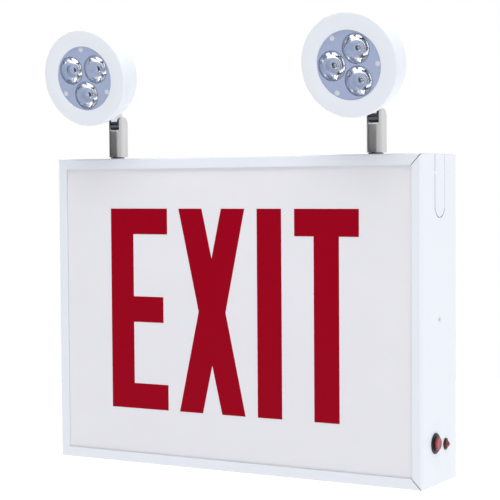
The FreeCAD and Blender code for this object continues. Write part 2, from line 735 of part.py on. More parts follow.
def battery():
    """The wrapped battery pack, and the strap that holds it to the back wall."""
    packY = "-sheetWall - cellRadius"
    packZ = "packFromBottom - boxHeight / 2"
    low = "%s - cellLength / 2" % packZ
    half = "(packWidth / 2 - cellRadius)"
    ends = [rod("cell%d" % n, "cellRadius", "cellLength", ("packX + (%d) * %s" % (n, half), packY, low))
            for n in (-1, 1)]
    middle = box("packMiddle", ("2 * %s" % half, "2 * cellRadius", "cellLength"),
                 ("packX - %s" % half, "%s - cellRadius" % packY, low))
    subPart(joined("batteryPack", ends + [middle]), "battery_pack")
    body = newBody("strap")
    section = sketchOn(body, "XY_Plane", packZ)
    outer = "(packWidth / 2 + strapSheet)"
    crest = "-sheetWall - 2 * cellRadius"
    outline(section, [("packX - %s - strapFoot" % outer, "-sheetWall"),
                      ("packX - packWidth / 2", "-sheetWall"),
                      ("packX - packWidth / 2", crest),
                      ("packX + packWidth / 2", crest),
                      ("packX + packWidth / 2", "-sheetWall"),
                      ("packX + %s + strapFoot" % outer, "-sheetWall"),
                      ("packX + %s + strapFoot" % outer, "-sheetWall - strapSheet"),
                      ("packX + %s" % outer, "-sheetWall - strapSheet"),
                      ("packX + %s" % outer, "%s - strapSheet" % crest),
                      ("packX - %s" % outer, "%s - strapSheet" % crest),
                      ("packX - %s" % outer, "-sheetWall - strapSheet"),
                      ("packX - %s - strapFoot" % outer, "-sheetWall - strapSheet")])
    pad(body, section, "strapWidth", midplane=True)
    subPart(body, "battery_strap")
    heads = [rod("strapScrew%d" % n, "boardScrewHead", "boardScrewRadius",
                 ("packX + (%d) * (%s + strapFoot / 2)" % (n, outer),
                  "-sheetWall - strapSheet - boardScrewRadius", packZ), "Y") for n in (-1, 1)]
    subPart(group("strapScrews", heads), "strap_screws")


# one lamp: what pans, and what tilts on it

def atStem(thing, side, z="0"):
    return place(thing, "%s * (boxWidth / 2 - stemFromEnd)" % side, "-boxDepth + stemFromFront",
                 "boxHeight / 2 + %s" % z)


def panPieces(name, side):
    """The hollow bolt through the box's top, its washers and nut, and the folded knuckle."""
    start = "(footWasher + panGap)"
    washer = cut(name + "Washer", rod(name + "WasherDisc", "washerRadius", "footWasher"),
                 rod(name + "WasherHole", "nippleRadius + panClearance", "footWasher"))
    subPart(atStem(washer, side), name + "_foot_washer")
    spring = cut(name + "Spring", rod(name + "SpringDisc", "springWasherRadius", "springWasherHeight"),
                 rod(name + "SpringHole", "nippleRadius + panClearance", "springWasherHeight"))
    subPart(atStem(spring, side, "(-sheetWall - springWasherHeight)"), name + "_spring_washer")

    body = newBody(name + "Fold")
    wide = "stemWidth / 2"
    deep = "stemDepth / 2"
    section = sketchOn(body, "XY_Plane", start)
    outline(section, [("-" + wide, "-" + deep),
                      (wide, "-" + deep),
                      (wide, deep),
                      ("%s - stemSheet" % wide, deep),
                      ("%s - stemSheet" % wide, "-%s + stemSheet" % deep),
                      ("-%s + stemSheet" % wide, "-%s + stemSheet" % deep),
                      ("-%s + stemSheet" % wide, deep),
                      ("-" + wide, deep)])
    pad(body, section, "pivotHeight + stemDepth / 2 - %s" % start)
    outerX = sizes["stemWidth"] / 2
    outerY = sizes["stemDepth"] / 2
    skin = sizes["stemSheet"]
    rounded(body, "stemCorner",
            lambda x0, x1, y0, y1, z0, z1, e: near(x0, x1) and near(abs(x0), outerX)
            and near(y0, -outerY) and near(y1, -outerY))
    rounded(body, "stemCorner - stemSheet",
            lambda x0, x1, y0, y1, z0, z1, e: near(x0, x1) and near(abs(x0), outerX - skin)
            and near(y0, skin - outerY) and near(y1, skin - outerY))
    tab = sketchOn(body, "XY_Plane", start)
    inset = "stemWidth / 2 - stemSheet / 2"
    outline(tab, [("-%s" % inset, "stemDepth / 2 - stemSheet"),
                  ("-%s" % inset, "-stemDepth / 2 + stemCorner"),
                  ("-stemWidth / 2 + stemCorner", "-stemDepth / 2 + stemSheet / 2"),
                  ("stemWidth / 2 - stemCorner", "-stemDepth / 2 + stemSheet / 2"),
                  (inset, "-stemDepth / 2 + stemCorner"), (inset, "stemDepth / 2 - stemSheet")])
    pad(body, tab, "stemSheet")
    side1 = box(name + "EarRun", ("stemWidth", "stemDepth", "pivotHeight - %s" % start),
                ("-stemWidth / 2", "-stemDepth / 2", start))
    side2 = rod(name + "EarTop", "stemDepth / 2", "stemWidth", ("-stemWidth / 2", "0", "pivotHeight"), "X")
    fold = common(name + "Knuckle", body, joined(name + "EarShape", [side1, side2]))
    web = box(name + "WebCut", ("stemWidth - 2 * stemCorner", "stemDepth / 2", "pivotHeight"),
              ("-stemWidth / 2 + stemCorner", "-stemDepth / 2", "pivotHeight - webShort"))
    pinHole = rod(name + "EarHole", "pinRadius + seatGap", "2 * stemWidth",
                  ("-stemWidth", "0", "pivotHeight"), "X")
    nippleHole = rod(name + "TabHole", "nippleRadius + seatGap", "stemSheet * 2", ("0", "0", start))
    knuckle = cut(name + "Stem", fold, joined(name + "StemTools", [web, pinHole, nippleHole]))
    subPart(atStem(knuckle, side), name + "_stem")

    nipple = newBody(name + "Nipple")
    profile = sketchOn(nipple, "XZ_Plane")
    seat = "%s + stemSheet" % start
    outline(profile, [("nippleBore", "-nippleDrop"), ("nippleRadius", "-nippleDrop"), ("nippleRadius", seat),
                      ("nippleFlange", seat), ("nippleFlange", "%s + nippleFlangeHeight" % seat),
                      ("nippleBore", "%s + nippleFlangeHeight" % seat)])
    revolve(nipple, profile)
    subPart(atStem(nipple, side), name + "_hollow_bolt")

    blank = doc.addObject("Part::Prism", name + "NutBlank")
    bind(blank, Circumradius="nutFlats / sqrt(3)", Height="nutHeight")
    nut = cut(name + "Nut", blank, rod(name + "NutHole", "nippleRadius + seatGap", "nutHeight"))
    subPart(atStem(nut, side, "(-sheetWall - springWasherHeight - panGap - nutHeight)"), name + "_lock_nut")

    pin = rod(name + "Pin", "pinRadius", "stemWidth", ("-stemWidth / 2", "0", "0"), "X")
    shifted = group(name + "PinPlace", [pin])
    subPart(atStem(shifted, side, "pivotHeight"), name + "_pivot_pin")


def atHead(thing, side):
    """Puts a piece made round the lamp's own axis onto its tilted place."""
    tilt = "headTilt * 1 deg"
    turn(thing, (1, 0, 0), 90 + sizes["headTilt"])
    thing.setExpression("Placement.Rotation.Angle", ex("(90 + headTilt) * 1 deg"))
    return place(thing, "%s * (boxWidth / 2 - stemFromEnd)" % side,
                 "-boxDepth + stemFromFront - pivotBack * cos(%s) - pivotDrop * sin(%s)" % (tilt, tilt),
                 "boxHeight / 2 + pivotHeight - pivotBack * sin(%s) + pivotDrop * cos(%s)" % (tilt, tilt))


hubHalf = "(stemWidth / 2 - stemSheet - hubSideGap)"
lensFront = "(-ringLip)"
lensBack = "(-ringLip - lensThickness)"
sinkFront = "(-ringLip - lensDrop)"
boardFront = "(-ringLip - lensDrop + ledBoardThickness)"
sinkBack = "(-ringLip - lensDrop - sinkPlate)"


def headHousing(name, side):
    """The moulded rear cup with its screw posts."""
    body = newBody(name + "Cup")
    section = sketchOn(body, "XZ_Plane")
    outline(section, [("0", "-headDepth"), ("headBackRadius - headBackRound", "-headDepth"),
                      ("headBackRadius - 0.3 * headBackRound", "-headDepth + 0.3 * headBackRound"),
                      ("headBackRadius + 0.1 * headBackRound", "-headDepth + headBackRound"),
                      ("headRadius", "-ringDepth"), ("headRadius - headWall", "-ringDepth"),
                      ("headBackRadius - headWall", "-headDepth + headBackRound"),
                      ("headBackRadius - headBackRound", "-headDepth + headWall"),
                      ("0", "-headDepth + headWall")])
    revolve(body, section)
    posts = sketchOn(body, "XY_Plane", "-headDepth + headWall / 2")
    for n in range(3):
        x, y = ringOf(3, "postPitch", "90", n)
        circle(posts, "headPostRadius", x, y)
    pad(body, posts, "%s + headDepth - headWall / 2" % sinkBack)
    bores = sketchOn(body, "XY_Plane", sinkBack)
    for n in range(3):
        x, y = ringOf(3, "postPitch", "90", n)
        circle(bores, "headScrewRadius + screwClearance", x, y)
    pocket(body, bores, "headScrewLength")
    subPart(atHead(body, side), name + "_head_housing")


def headNeck(name, side):
    """The neck that stands on the cup's flat back and reaches down to the hinge."""
    body = newBody(name + "NeckBlank")
    section = sketchOn(body, "YZ_Plane")
    outline(section, [("-pivotDrop + neckSeat", "-pivotBack - neckBack"),
                      ("-pivotDrop + neckStart", "-pivotBack - neckBack"),
                      ("-neckTop", "-headDepth"),
                      ("-neckLow", "-headDepth"),
                      ("-pivotDrop + neckFront", "-pivotBack + neckBack"),
                      ("-pivotDrop + neckSeat", "-pivotBack + neckBack")])
    pad(body, section, "2 * neckHalf", midplane=True)
    barrel = rod(name + "BarrelRoom", "barrelRadius + seatGap", "stemWidth",
                 ("-stemWidth / 2", "-pivotDrop", "-pivotBack"), "X")
    tongue = box(name + "TongueRoom", ("tongueWidth + 2 * seatGap", "tongueHeight + seatGap",
                                       "tongueDepth + 2 * seatGap"),
                 ("-tongueWidth / 2 - seatGap", "-pivotDrop", "-pivotBack - tongueDepth / 2 - seatGap"))
    neck = cut(name + "Neck", body, joined(name + "NeckTools", [barrel, tongue]))
    subPart(atHead(neck, side), name + "_neck")


def hingeBarrel(name, side):
    """The polished barrel between the knuckle's ears, with its hubs and the tongue that holds the neck."""
    drum = rod(name + "Drum", "barrelRadius", "2 * barrelHalf",
               ("-barrelHalf", "-pivotDrop", "-pivotBack"), "X")
    hubs = rod(name + "Hubs", "hubRadius", "2 * %s" % hubHalf,
               ("-%s" % hubHalf, "-pivotDrop", "-pivotBack"), "X")
    tongue = box(name + "Tongue", ("tongueWidth", "tongueHeight", "tongueDepth"),
                 ("-tongueWidth / 2", "-pivotDrop", "-pivotBack - tongueDepth / 2"))
    bore = rod(name + "DrumBore", "pinRadius + pinClearance", "stemWidth",
               ("-stemWidth / 2", "-pivotDrop", "-pivotBack"), "X")
    barrel = cut(name + "Barrel", joined(name + "BarrelBlank", [drum, hubs, tongue]), bore)
    subPart(atHead(barrel, side), name + "_hinge_barrel")


def trimRing(name, side):
    """The front ring of the head, with the lip that holds the lens plate and a spigot into the cup."""
    body = newBody(name + "Ring")
    section = sketchOn(body, "XZ_Plane")
    taper = "(headRadius - headBackRadius) * spigotDepth / (headDepth - ringDepth)"
    spigot = "headRadius - headWall - spigotGap - %s" % taper
    outline(section, [("apertureRadius", "0"), ("headRadius - ringRound", "0"),
                      ("headRadius - 0.3 * ringRound", "-0.3 * ringRound"),
                      ("headRadius", "-ringRound"), ("headRadius", "-ringDepth"),
                      (spigot, "-ringDepth"), (spigot, "-ringDepth - spigotDepth"),
                      ("%s - spigotWall" % spigot, "-ringDepth - spigotDepth"),
                      ("%s - spigotWall" % spigot, "-ringFront"),
                      ("apertureRadius + lensMargin + opticGap", "-ringFront"),
                      ("apertureRadius + lensMargin + opticGap", "-ringLip"),
                      ("apertureRadius", "-ringLip")])
    revolve(body, section)
    subPart(atHead(body, side), name + "_trim_ring")


def lensPlate(name, side, turned):
    """The lens plate with three seats for the optics, three small bosses and a skirt to stand on."""
    body = newBody(name + "Plate")
    rim = "apertureRadius + lensMargin"
    section = sketchOn(body, "XZ_Plane")
    outline(section, [("0", lensFront), (rim, lensFront), (rim, sinkFront),
                      ("%s - skirtWall" % rim, sinkFront),
                      ("%s - skirtWall" % rim, lensBack), ("0", lensBack)])
    revolve(body, section)
    bosses = sketchOn(body, "XY_Plane", lensFront)
    seats = sketchOn(body, "XY_Plane", lensFront)
    openings = sketchOn(body, "XY_Plane", lensFront)
    for n in range(3):
        x, y = ringOf(3, "opticPitch", turned, n)
        circle(seats, "opticRadius + opticGap", x, y)
        circle(openings, "opticRadius - opticSeat + opticGap", x, y)
        x, y = ringOf(3, "bossPitch", "%s + 60" % turned, n)
        circle(bosses, "bossRadius", x, y)
    pad(body, bosses, "bossHeight")
    pocket(body, seats, "opticSeat")
    pocket(body, openings, "2 * lensThickness")
    subPart(atHead(body, side), name + "_lens_plate")


def optics(name, side, turned):
    """Three moulded collimators: a seat flange, a tapered side and a front well."""
    pieces = []
    for n in range(3):
        body = newBody("%sOptic%d" % (name, n))
        section = sketchOn(body, "XZ_Plane")
        outline(section, [("0", "%s - opticWellDepth" % lensFront),
                          ("0.8 * opticWell", "%s - opticWellDepth" % lensFront),
                          ("opticWell", lensFront), ("opticRadius", lensFront),
                          ("opticRadius", "%s - opticSeat" % lensFront),
                          ("opticRadius - opticSeat - opticGap", "%s - opticSeat" % lensFront),
                          ("opticFoot", "%s - opticDepth" % lensFront),
                          ("0", "%s - opticDepth" % lensFront)])
        revolve(body, section)
        x, y = ringOf(3, "opticPitch", turned, n)
        pieces.append(place(body, x, y))
    subPart(atHead(group(name + "Optics", pieces), side), name + "_optics")


def ledBoard(name, side, turned):
    """The lamp's own board with its three emitters, on a finned plate that screws to the posts."""
    plate = rod(name + "LedDisc", "ledBoardRadius", "ledBoardThickness", ("0", "0", sinkFront))
    subPart(atHead(group(name + "LedBoard", [plate]), side), name + "_led_board")
    pieces = []
    for n in range(3):
        x, y = ringOf(3, "opticPitch", turned, n)
        base = box("%sEmitterBase%d" % (name, n), ("emitterBase", "emitterBase", "emitterBaseHeight"),
                   ("%s - emitterBase / 2" % x, "%s - emitterBase / 2" % y, boardFront))
        dome = cone("%sEmitterDome%d" % (name, n), "emitterDome", "0.6 * emitterDome", "0.7 * emitterDome",
                    (x, y, "%s + emitterBaseHeight" % boardFront))
        pieces.append(joined("%sEmitter%d" % (name, n), [base, dome]))
    subPart(atHead(group(name + "Emitters", pieces), side), name + "_emitters")


def heatSink(name, side):
    disc = rod(name + "SinkDisc", "sinkRadius", "sinkPlate", ("0", "0", sinkBack))
    fins = [box("%sFin%d" % (name, n), ("finThickness", "2 * finReach", "finHeight + sinkPlate / 2"),
                ("%d * finSpacing - finThickness / 2" % n, "-finReach", "%s - finHeight" % sinkBack))
            for n in (-3, -2, -1, 0, 1, 2, 3)]
    limit = rod(name + "FinLimit", "finReach", "finHeight + sinkPlate / 2",
                ("0", "0", "%s - finHeight" % sinkBack))
    trimmed = common(name + "Fins", joined(name + "FinRow", fins), limit)
    holes = []
    screws = []
    for n in range(3):
        x, y = ringOf(3, "postPitch", "90", n)
        holes.append(rod("%sSinkHole%d" % (name, n), "headScrewRadius + screwClearance", "3 * sinkPlate",
                         (x, y, "%s - sinkPlate" % sinkBack)))
        shank = rod("%sScrewShank%d" % (name, n), "headScrewRadius", "headScrewLength",
                    (x, y, "%s - headScrewLength" % sinkFront))
        head = rod("%sScrewHead%d" % (name, n), "headScrewHead", "headScrewHeadHeight", (x, y, sinkFront))
        screws.append(joined("%sHeadScrew%d" % (name, n), [shank, head]))
    sink = cut(name + "Sink", joined(name + "SinkBlank", [disc, trimmed]), joined(name + "SinkHoles", holes))
    subPart(atHead(sink, side), name + "_heat_sink")
    subPart(atHead(group(name + "HeadScrews", screws), side), name + "_head_screws")


def lamp(name, side, turned):
    panPieces(name, side)
    headHousing(name, side)
    headNeck(name, side)
    hingeBarrel(name, side)
    trimRing(name, side)
    lensPlate(name, side, turned)
    optics(name, side, turned)
    ledBoard(name, side, turned)
    heatSink(name, side)


housingShell()
sideCover()
coverFixing()
litFace()
lightStrips()
testSwitch()
indicator()
chargerBoard()
battery()
lamp("left", "-1", "leftLensTurn")
lamp("right", "1", "rightLensTurn")
doc.recompute()

for thing in doc.Objects:
    if "Invalid" in thing.State or "Error" in thing.State:
        raise ValueError("%s did not compute: %s" % (thing.Label, thing.State))
os.makedirs("parts", exist_ok=True)
for thing in subParts:
    shape = thing.Shape
    if shape.isNull() or not shape.isValid():
        raise ValueError("%s has no sound shape" % thing.Label)
    shape.exportStep("parts/%s.step" % thing.Label)
print(len(subParts), "sub-parts written")
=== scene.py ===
import bpy
import json
import math
from mathutils import Matrix, Vector


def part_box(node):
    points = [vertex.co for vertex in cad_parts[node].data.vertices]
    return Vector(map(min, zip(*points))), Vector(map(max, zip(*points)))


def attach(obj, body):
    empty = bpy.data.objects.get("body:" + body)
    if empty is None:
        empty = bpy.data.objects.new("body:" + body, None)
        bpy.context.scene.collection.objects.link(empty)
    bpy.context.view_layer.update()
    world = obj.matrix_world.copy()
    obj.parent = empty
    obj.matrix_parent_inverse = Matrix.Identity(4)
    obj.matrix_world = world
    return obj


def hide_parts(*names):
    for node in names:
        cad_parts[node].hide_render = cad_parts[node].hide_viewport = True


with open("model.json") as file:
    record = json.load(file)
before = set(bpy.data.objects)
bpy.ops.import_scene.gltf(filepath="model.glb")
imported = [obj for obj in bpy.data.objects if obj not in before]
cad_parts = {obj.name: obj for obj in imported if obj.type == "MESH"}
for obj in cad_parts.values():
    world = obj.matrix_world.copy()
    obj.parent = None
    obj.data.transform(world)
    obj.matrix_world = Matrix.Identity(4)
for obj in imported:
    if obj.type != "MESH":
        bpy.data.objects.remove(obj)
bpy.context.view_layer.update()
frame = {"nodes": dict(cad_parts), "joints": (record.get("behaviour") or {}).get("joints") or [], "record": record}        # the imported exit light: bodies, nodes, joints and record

nodes = frame["nodes"]
jointPlace = {joint["name"]: Vector(joint["pos_m"]) for joint in frame["joints"] if "pos_m" in joint}
slotOf = {part["node"]: part["material_slot"] for part in frame["record"]["subparts"]}


# camera, floor and light

view = {
    "place": (0.76736, -1.37182, 0.12502),
    "turn": 29.941,      # degrees round the upright axis
    "down": 2.343,
    "roll": -0.387,
    "lens": 110.595,
    "sensor": 36,
    "near": 0.05,
    "far": 60,
}


def makeCamera():
    turn, down, roll = (math.radians(view[k]) for k in ("turn", "down", "roll"))
    ahead = Vector((-math.sin(turn) * math.cos(down), math.cos(turn) * math.cos(down), -math.sin(down)))
    level = Vector((math.cos(turn), math.sin(turn), 0))
    upright = level.cross(ahead)
    side = level * math.cos(roll) + upright * math.sin(roll)
    over = upright * math.cos(roll) - level * math.sin(roll)
    lens = bpy.data.cameras.new("signCamera")
    lens.lens = view["lens"]
    lens.sensor_width = view["sensor"]
    lens.clip_start = view["near"]
    lens.clip_end = view["far"]
    camera = bpy.data.objects.new("signCamera", lens)
    bpy.context.scene.collection.objects.link(camera)
    camera.matrix_world = Matrix((
        (side.x, over.x, -ahead.x, view["place"][0]),
        (side.y, over.y, -ahead.y, view["place"][1]),
        (side.z, over.z, -ahead.z, view["place"][2]),
        (0, 0, 0, 1)))
    bpy.context.scene.camera = camera
    print("camera made")


studio = {
    "roomTint": (0.97, 0.985, 1.0, 1),
    "shadeTint": (1.0, 1.05, 1.15),
    "shadeSide": (-0.82, -0.57, 0.05),   # the dark side of the studio
    "shadeStart": 0.42,
    "shadeFull": 0.86,
    "shadeLevel": 0.01,
    "roomLevel": 0.63,
    "backFull": 0.5,     # how far round the backdrop side reaches its level
    "backLevel": 1.68,   # how much brighter the backdrop side is
    "softboxes": {       # place, what it points at, width, height, power
        "rightBox": ((1.9, -0.5, 0.75), (0.1, 0.0, 0.1), 1.3, 1.6, 1.5),
        "frontBox": ((0.9, -2.2, 1.2), (0.0, 0.0, 0.1), 0.7, 0.7, 2.5),
        "topBox": ((0.1, -0.75, 1.9), (0.0, -0.08, 0.1), 1.6, 0.8, 26.0),
    },
}


def makeStudio():
    scene = bpy.context.scene
    scene.view_settings.view_transform = "Standard"
    world = bpy.data.worlds.new("studioRoom")
    world.use_nodes = True
    scene.world = world
    tree = world.node_tree
    tree.nodes.clear()
    out = tree.nodes.new("ShaderNodeOutputWorld")
    seen = tree.nodes.new("ShaderNodeBackground")
    seen.inputs["Color"].default_value = (1, 1, 1, 1)
    room = tree.nodes.new("ShaderNodeBackground")
    room.inputs["Strength"].default_value = studio["roomLevel"]
    path = tree.nodes.new("ShaderNodeLightPath")
    either = tree.nodes.new("ShaderNodeMixShader")
    spot = tree.nodes.new("ShaderNodeTexCoord")
    facing = tree.nodes.new("ShaderNodeVectorMath")
    facing.operation = "DOT_PRODUCT"
    facing.inputs[1].default_value = Vector(studio["shadeSide"]).normalized()
    fade = tree.nodes.new("ShaderNodeMapRange")
    fade.inputs["From Min"].default_value = studio["shadeStart"]
    fade.inputs["From Max"].default_value = studio["shadeFull"]
    tone = tree.nodes.new("ShaderNodeMix")
    tone.data_type = "RGBA"
    tone.inputs[6].default_value = studio["roomTint"]
    tone.inputs[7].default_value = (*(studio["shadeLevel"] * tint for tint in studio["shadeTint"]), 1)
    parts = tree.nodes.new("ShaderNodeSeparateXYZ")
    behind = tree.nodes.new("ShaderNodeMapRange")
    behind.inputs["From Min"].default_value = 0.0
    behind.inputs["From Max"].default_value = studio["backFull"]
    behind.inputs["To Min"].default_value = 1.0
    behind.inputs["To Max"].default_value = studio["backLevel"]
    lift = tree.nodes.new("ShaderNodeVectorMath")
    lift.operation = "SCALE"
    join = tree.links.new
    join(spot.outputs["Generated"], facing.inputs[0])
    join(facing.outputs["Value"], fade.inputs["Value"])
    join(fade.outputs["Result"], tone.inputs["Factor"])
    join(spot.outputs["Generated"], parts.inputs[0])
    join(parts.outputs["Y"], behind.inputs["Value"])
    join(tone.outputs[2], lift.inputs[0])
    join(behind.outputs["Result"], lift.inputs["Scale"])
    join(lift.outputs[0], room.inputs["Color"])
    join(path.outputs["Is Camera Ray"], either.inputs["Fac"])
    join(room.outputs[0], either.inputs[1])
    join(seen.outputs[0], either.inputs[2])
    join(either.outputs[0], out.inputs["Surface"])
    for name, (place, target, width, height, power) in studio["softboxes"].items():
        light = bpy.data.lights.new(name, "AREA")
        light.shape = "RECTANGLE"
        light.size = width
        light.size_y = height
        light.energy = power
        softbox = bpy.data.objects.new(name, light)
        scene.collection.objects.link(softbox)
        softbox.location = place
        softbox.rotation_euler = (Vector(target) - Vector(place)).to_track_quat("-Z", "Y").to_euler()
        softbox.visible_camera = False
    print("studio lit")


def clearSelection():
    if bpy.context.object and bpy.context.object.mode != "OBJECT":
        bpy.ops.object.mode_set(mode="OBJECT")
    bpy.ops.object.select_all(action="DESELECT")


paleFloor = {
    "height": -0.95,
    "radius": 7.0,
    "sides": 96,
    "colour": (0.88, 0.88, 0.88, 1),
    "patch": 3.0,
    "drift": 0.02,
    "rough": 0.9,
    "glow": 0.55,
}


def makeFloor():
    clearSelection()
    bpy.ops.mesh.primitive_circle_add(vertices=paleFloor["sides"], radius=paleFloor["radius"],
                                      fill_type="NGON", location=(0, 0, paleFloor["height"]))
    floor = bpy.context.object
    floor.name = "paleFloor"
    bpy.ops.object.transform_apply(location=True, rotation=True, scale=True)
    paint, tree, shader = newFinish("paleFloor")
    shader.inputs["Roughness"].default_value = paleFloor["rough"]
    shader.inputs["Emission Color"].default_value = (1, 1, 1, 1)
    shader.inputs["Emission Strength"].default_value = paleFloor["glow"]
    cast = useGroup(tree, "drift", Colour=paleFloor["colour"], Size=paleFloor["patch"],
                    Amount=paleFloor["drift"])
    tree.links.new(cast.outputs["Colour"], shader.inputs["Base Color"])
    floor.data.materials.append(paint)


# surface effects that several finishes share

effects = {}


def newGroup(name, inputs, outputs):
    tree = bpy.data.node_groups.new(name, "ShaderNodeTree")
    for label, kind, value in inputs:
        made = tree.interface.new_socket(label, in_out="INPUT", socket_type="NodeSocket" + kind)
        made.default_value = value
    for label, kind in outputs:
        tree.interface.new_socket(label, in_out="OUTPUT", socket_type="NodeSocket" + kind)
    start = tree.nodes.new("NodeGroupInput")
    end = tree.nodes.new("NodeGroupOutput")
    effects[name] = tree
    return tree, start, end


def addNoise(tree, vector, scale, detail=2.0, rough=0.5):
    noise = tree.nodes.new("ShaderNodeTexNoise")
    noise.inputs["Detail"].default_value = detail
    noise.inputs["Roughness"].default_value = rough
    tree.links.new(vector, noise.inputs["Vector"])
    if isinstance(scale, (int, float)):
        noise.inputs["Scale"].default_value = scale
    else:
        tree.links.new(scale, noise.inputs["Scale"])
    return noise.outputs["Fac"]


def addMath(tree, kind, first, second=0.5):
    step = tree.nodes.new("ShaderNodeMath")
    step.operation = kind
    for socket, value in zip(step.inputs, (first, second)):
        if isinstance(value, (int, float)):
            socket.default_value = value
        else:
            tree.links.new(value, socket)
    return step.outputs[0]


def addRange(tree, value, limits, outLow, outHigh):
    step = tree.nodes.new("ShaderNodeMapRange")
    tree.links.new(value, step.inputs["Value"])
    for label, given in zip(("From Min", "From Max", "To Min", "To Max"), (*limits, outLow, outHigh)):
        if isinstance(given, (int, float)):
            step.inputs[label].default_value = given
        else:
            tree.links.new(given, step.inputs[label])
    return step.outputs["Result"]


# the depth range and the part of the end panel where the knock-out is scored and gets painted shade
scoreBox = {"X": (0.2042, 0.20494), "Y": (-0.062, -0.028), "Z": (0.06, 0.1545)}

# cut edges of the front strips, which get painted shade: how slanted they are, and how far forward they lie
cutEdge = {"slant": 0.2, "front": -0.08}

noiseSpan = (0.3, 0.7)   # the part of a noise between its darkest and lightest spots
dullPatch = 28.0         # size of the duller and smoother patches of a skin


def makeEffects():
    # slow change of tone over a surface, as in a sprayed or moulded finish
    tree, start, end = newGroup("drift", [("Colour", "Color", (0.8, 0.8, 0.8, 1)), ("Size", "Float", 10.0),
                                          ("Amount", "Float", 0.05)], [("Colour", "Color")])
    spot = tree.nodes.new("ShaderNodeTexCoord")
    wave = addNoise(tree, spot.outputs["Object"], start.outputs["Size"], 3.0)
    swing = addMath(tree, "MULTIPLY", addMath(tree, "SUBTRACT", wave, 0.5), start.outputs["Amount"])
    bright = tree.nodes.new("ShaderNodeHueSaturation")
    tree.links.new(addMath(tree, "ADD", swing, 1.0), bright.inputs["Value"])
    tree.links.new(start.outputs["Colour"], bright.inputs["Color"])
    tree.links.new(bright.outputs["Color"], end.inputs["Colour"])

    # fine skin: orange peel on paint, spark-eroded grain on mouldings
    tree, start, end = newGroup("skin", [("Size", "Float", 900.0), ("Smooth", "Float", 0.35),
                                         ("Dull", "Float", 0.5)],
                                [("Height", "Float"), ("Roughness", "Float")])
    spot = tree.nodes.new("ShaderNodeTexCoord")
    peel = addNoise(tree, spot.outputs["Object"], start.outputs["Size"], 2.0, 0.6)
    patch = addNoise(tree, spot.outputs["Object"], dullPatch)
    tree.links.new(peel, end.inputs["Height"])
    tree.links.new(addRange(tree, patch, noiseSpan, start.outputs["Smooth"], start.outputs["Dull"]),
                   end.inputs["Roughness"])

    # drawn or brushed lines, stretched along one direction
    tree, start, end = newGroup("lines", [("Stretch", "Vector", (1, 1, 0.05)), ("Size", "Float", 2500.0),
                                          ("Smooth", "Float", 0.2), ("Dull", "Float", 0.35)],
                                [("Height", "Float"), ("Roughness", "Float")])
    spot = tree.nodes.new("ShaderNodeTexCoord")
    pull = tree.nodes.new("ShaderNodeVectorMath")
    pull.operation = "MULTIPLY"
    tree.links.new(spot.outputs["Object"], pull.inputs[0])
    tree.links.new(start.outputs["Stretch"], pull.inputs[1])
    grain = addNoise(tree, pull.outputs[0], start.outputs["Size"], 3.0, 0.6)
    tree.links.new(grain, end.inputs["Height"])
    tree.links.new(addRange(tree, grain, noiseSpan, start.outputs["Smooth"], start.outputs["Dull"]),
                   end.inputs["Roughness"])

    # a mask of the painted shade on the scored lines and on the slanted cut edges of the front strips
    tree, start, end = newGroup("grooveShade", [], [("Mask", "Float")])
    spot = tree.nodes.new("ShaderNodeTexCoord")
    where = tree.nodes.new("ShaderNodeSeparateXYZ")
    tree.links.new(spot.outputs["Object"], where.inputs[0])
    inside = 1.0
    for axis, (low, high) in scoreBox.items():
        inside = addMath(tree, "MULTIPLY", addMath(tree, "GREATER_THAN", where.outputs[axis], low), inside)
        inside = addMath(tree, "MULTIPLY", addMath(tree, "LESS_THAN", where.outputs[axis], high), inside)
    facing = tree.nodes.new("ShaderNodeSeparateXYZ")
    tree.links.new(spot.outputs["Normal"], facing.inputs[0])
    slant = addMath(tree, "ABSOLUTE", addMath(tree, "MULTIPLY", facing.outputs["X"], facing.outputs["Z"]))
    slant = addMath(tree, "GREATER_THAN", slant, cutEdge["slant"])
    frontOnly = addMath(tree, "LESS_THAN", where.outputs["Y"], cutEdge["front"])
    slant = addMath(tree, "MULTIPLY", slant, frontOnly)
    tree.links.new(addMath(tree, "MAXIMUM", inside, slant), end.inputs["Mask"])
    print("effects made")


def newFinish(name):
    paint = bpy.data.materials.new(name)
    paint.use_nodes = True
    return paint, paint.node_tree, paint.node_tree.nodes["Principled BSDF"]


def useGroup(tree, name, **values):
    step = tree.nodes.new("ShaderNodeGroup")
    step.node_tree = effects[name]
    for label, value in values.items():
        step.inputs[label].default_value = value
    return step


def addRelief(tree, shader, height, depth):
    relief = tree.nodes.new("ShaderNodeBump")
    relief.inputs["Distance"].default_value = depth
    tree.links.new(height, relief.inputs["Height"])
    tree.links.new(relief.outputs["Normal"], shader.inputs["Normal"])


finishes = {}
paintPatch = 14.0                    # size of the drift where a finish gives none
grooveShadeColour = (0.05, 0.05, 0.07, 1)   # painted shade, near black, in the scored lines and cut edges
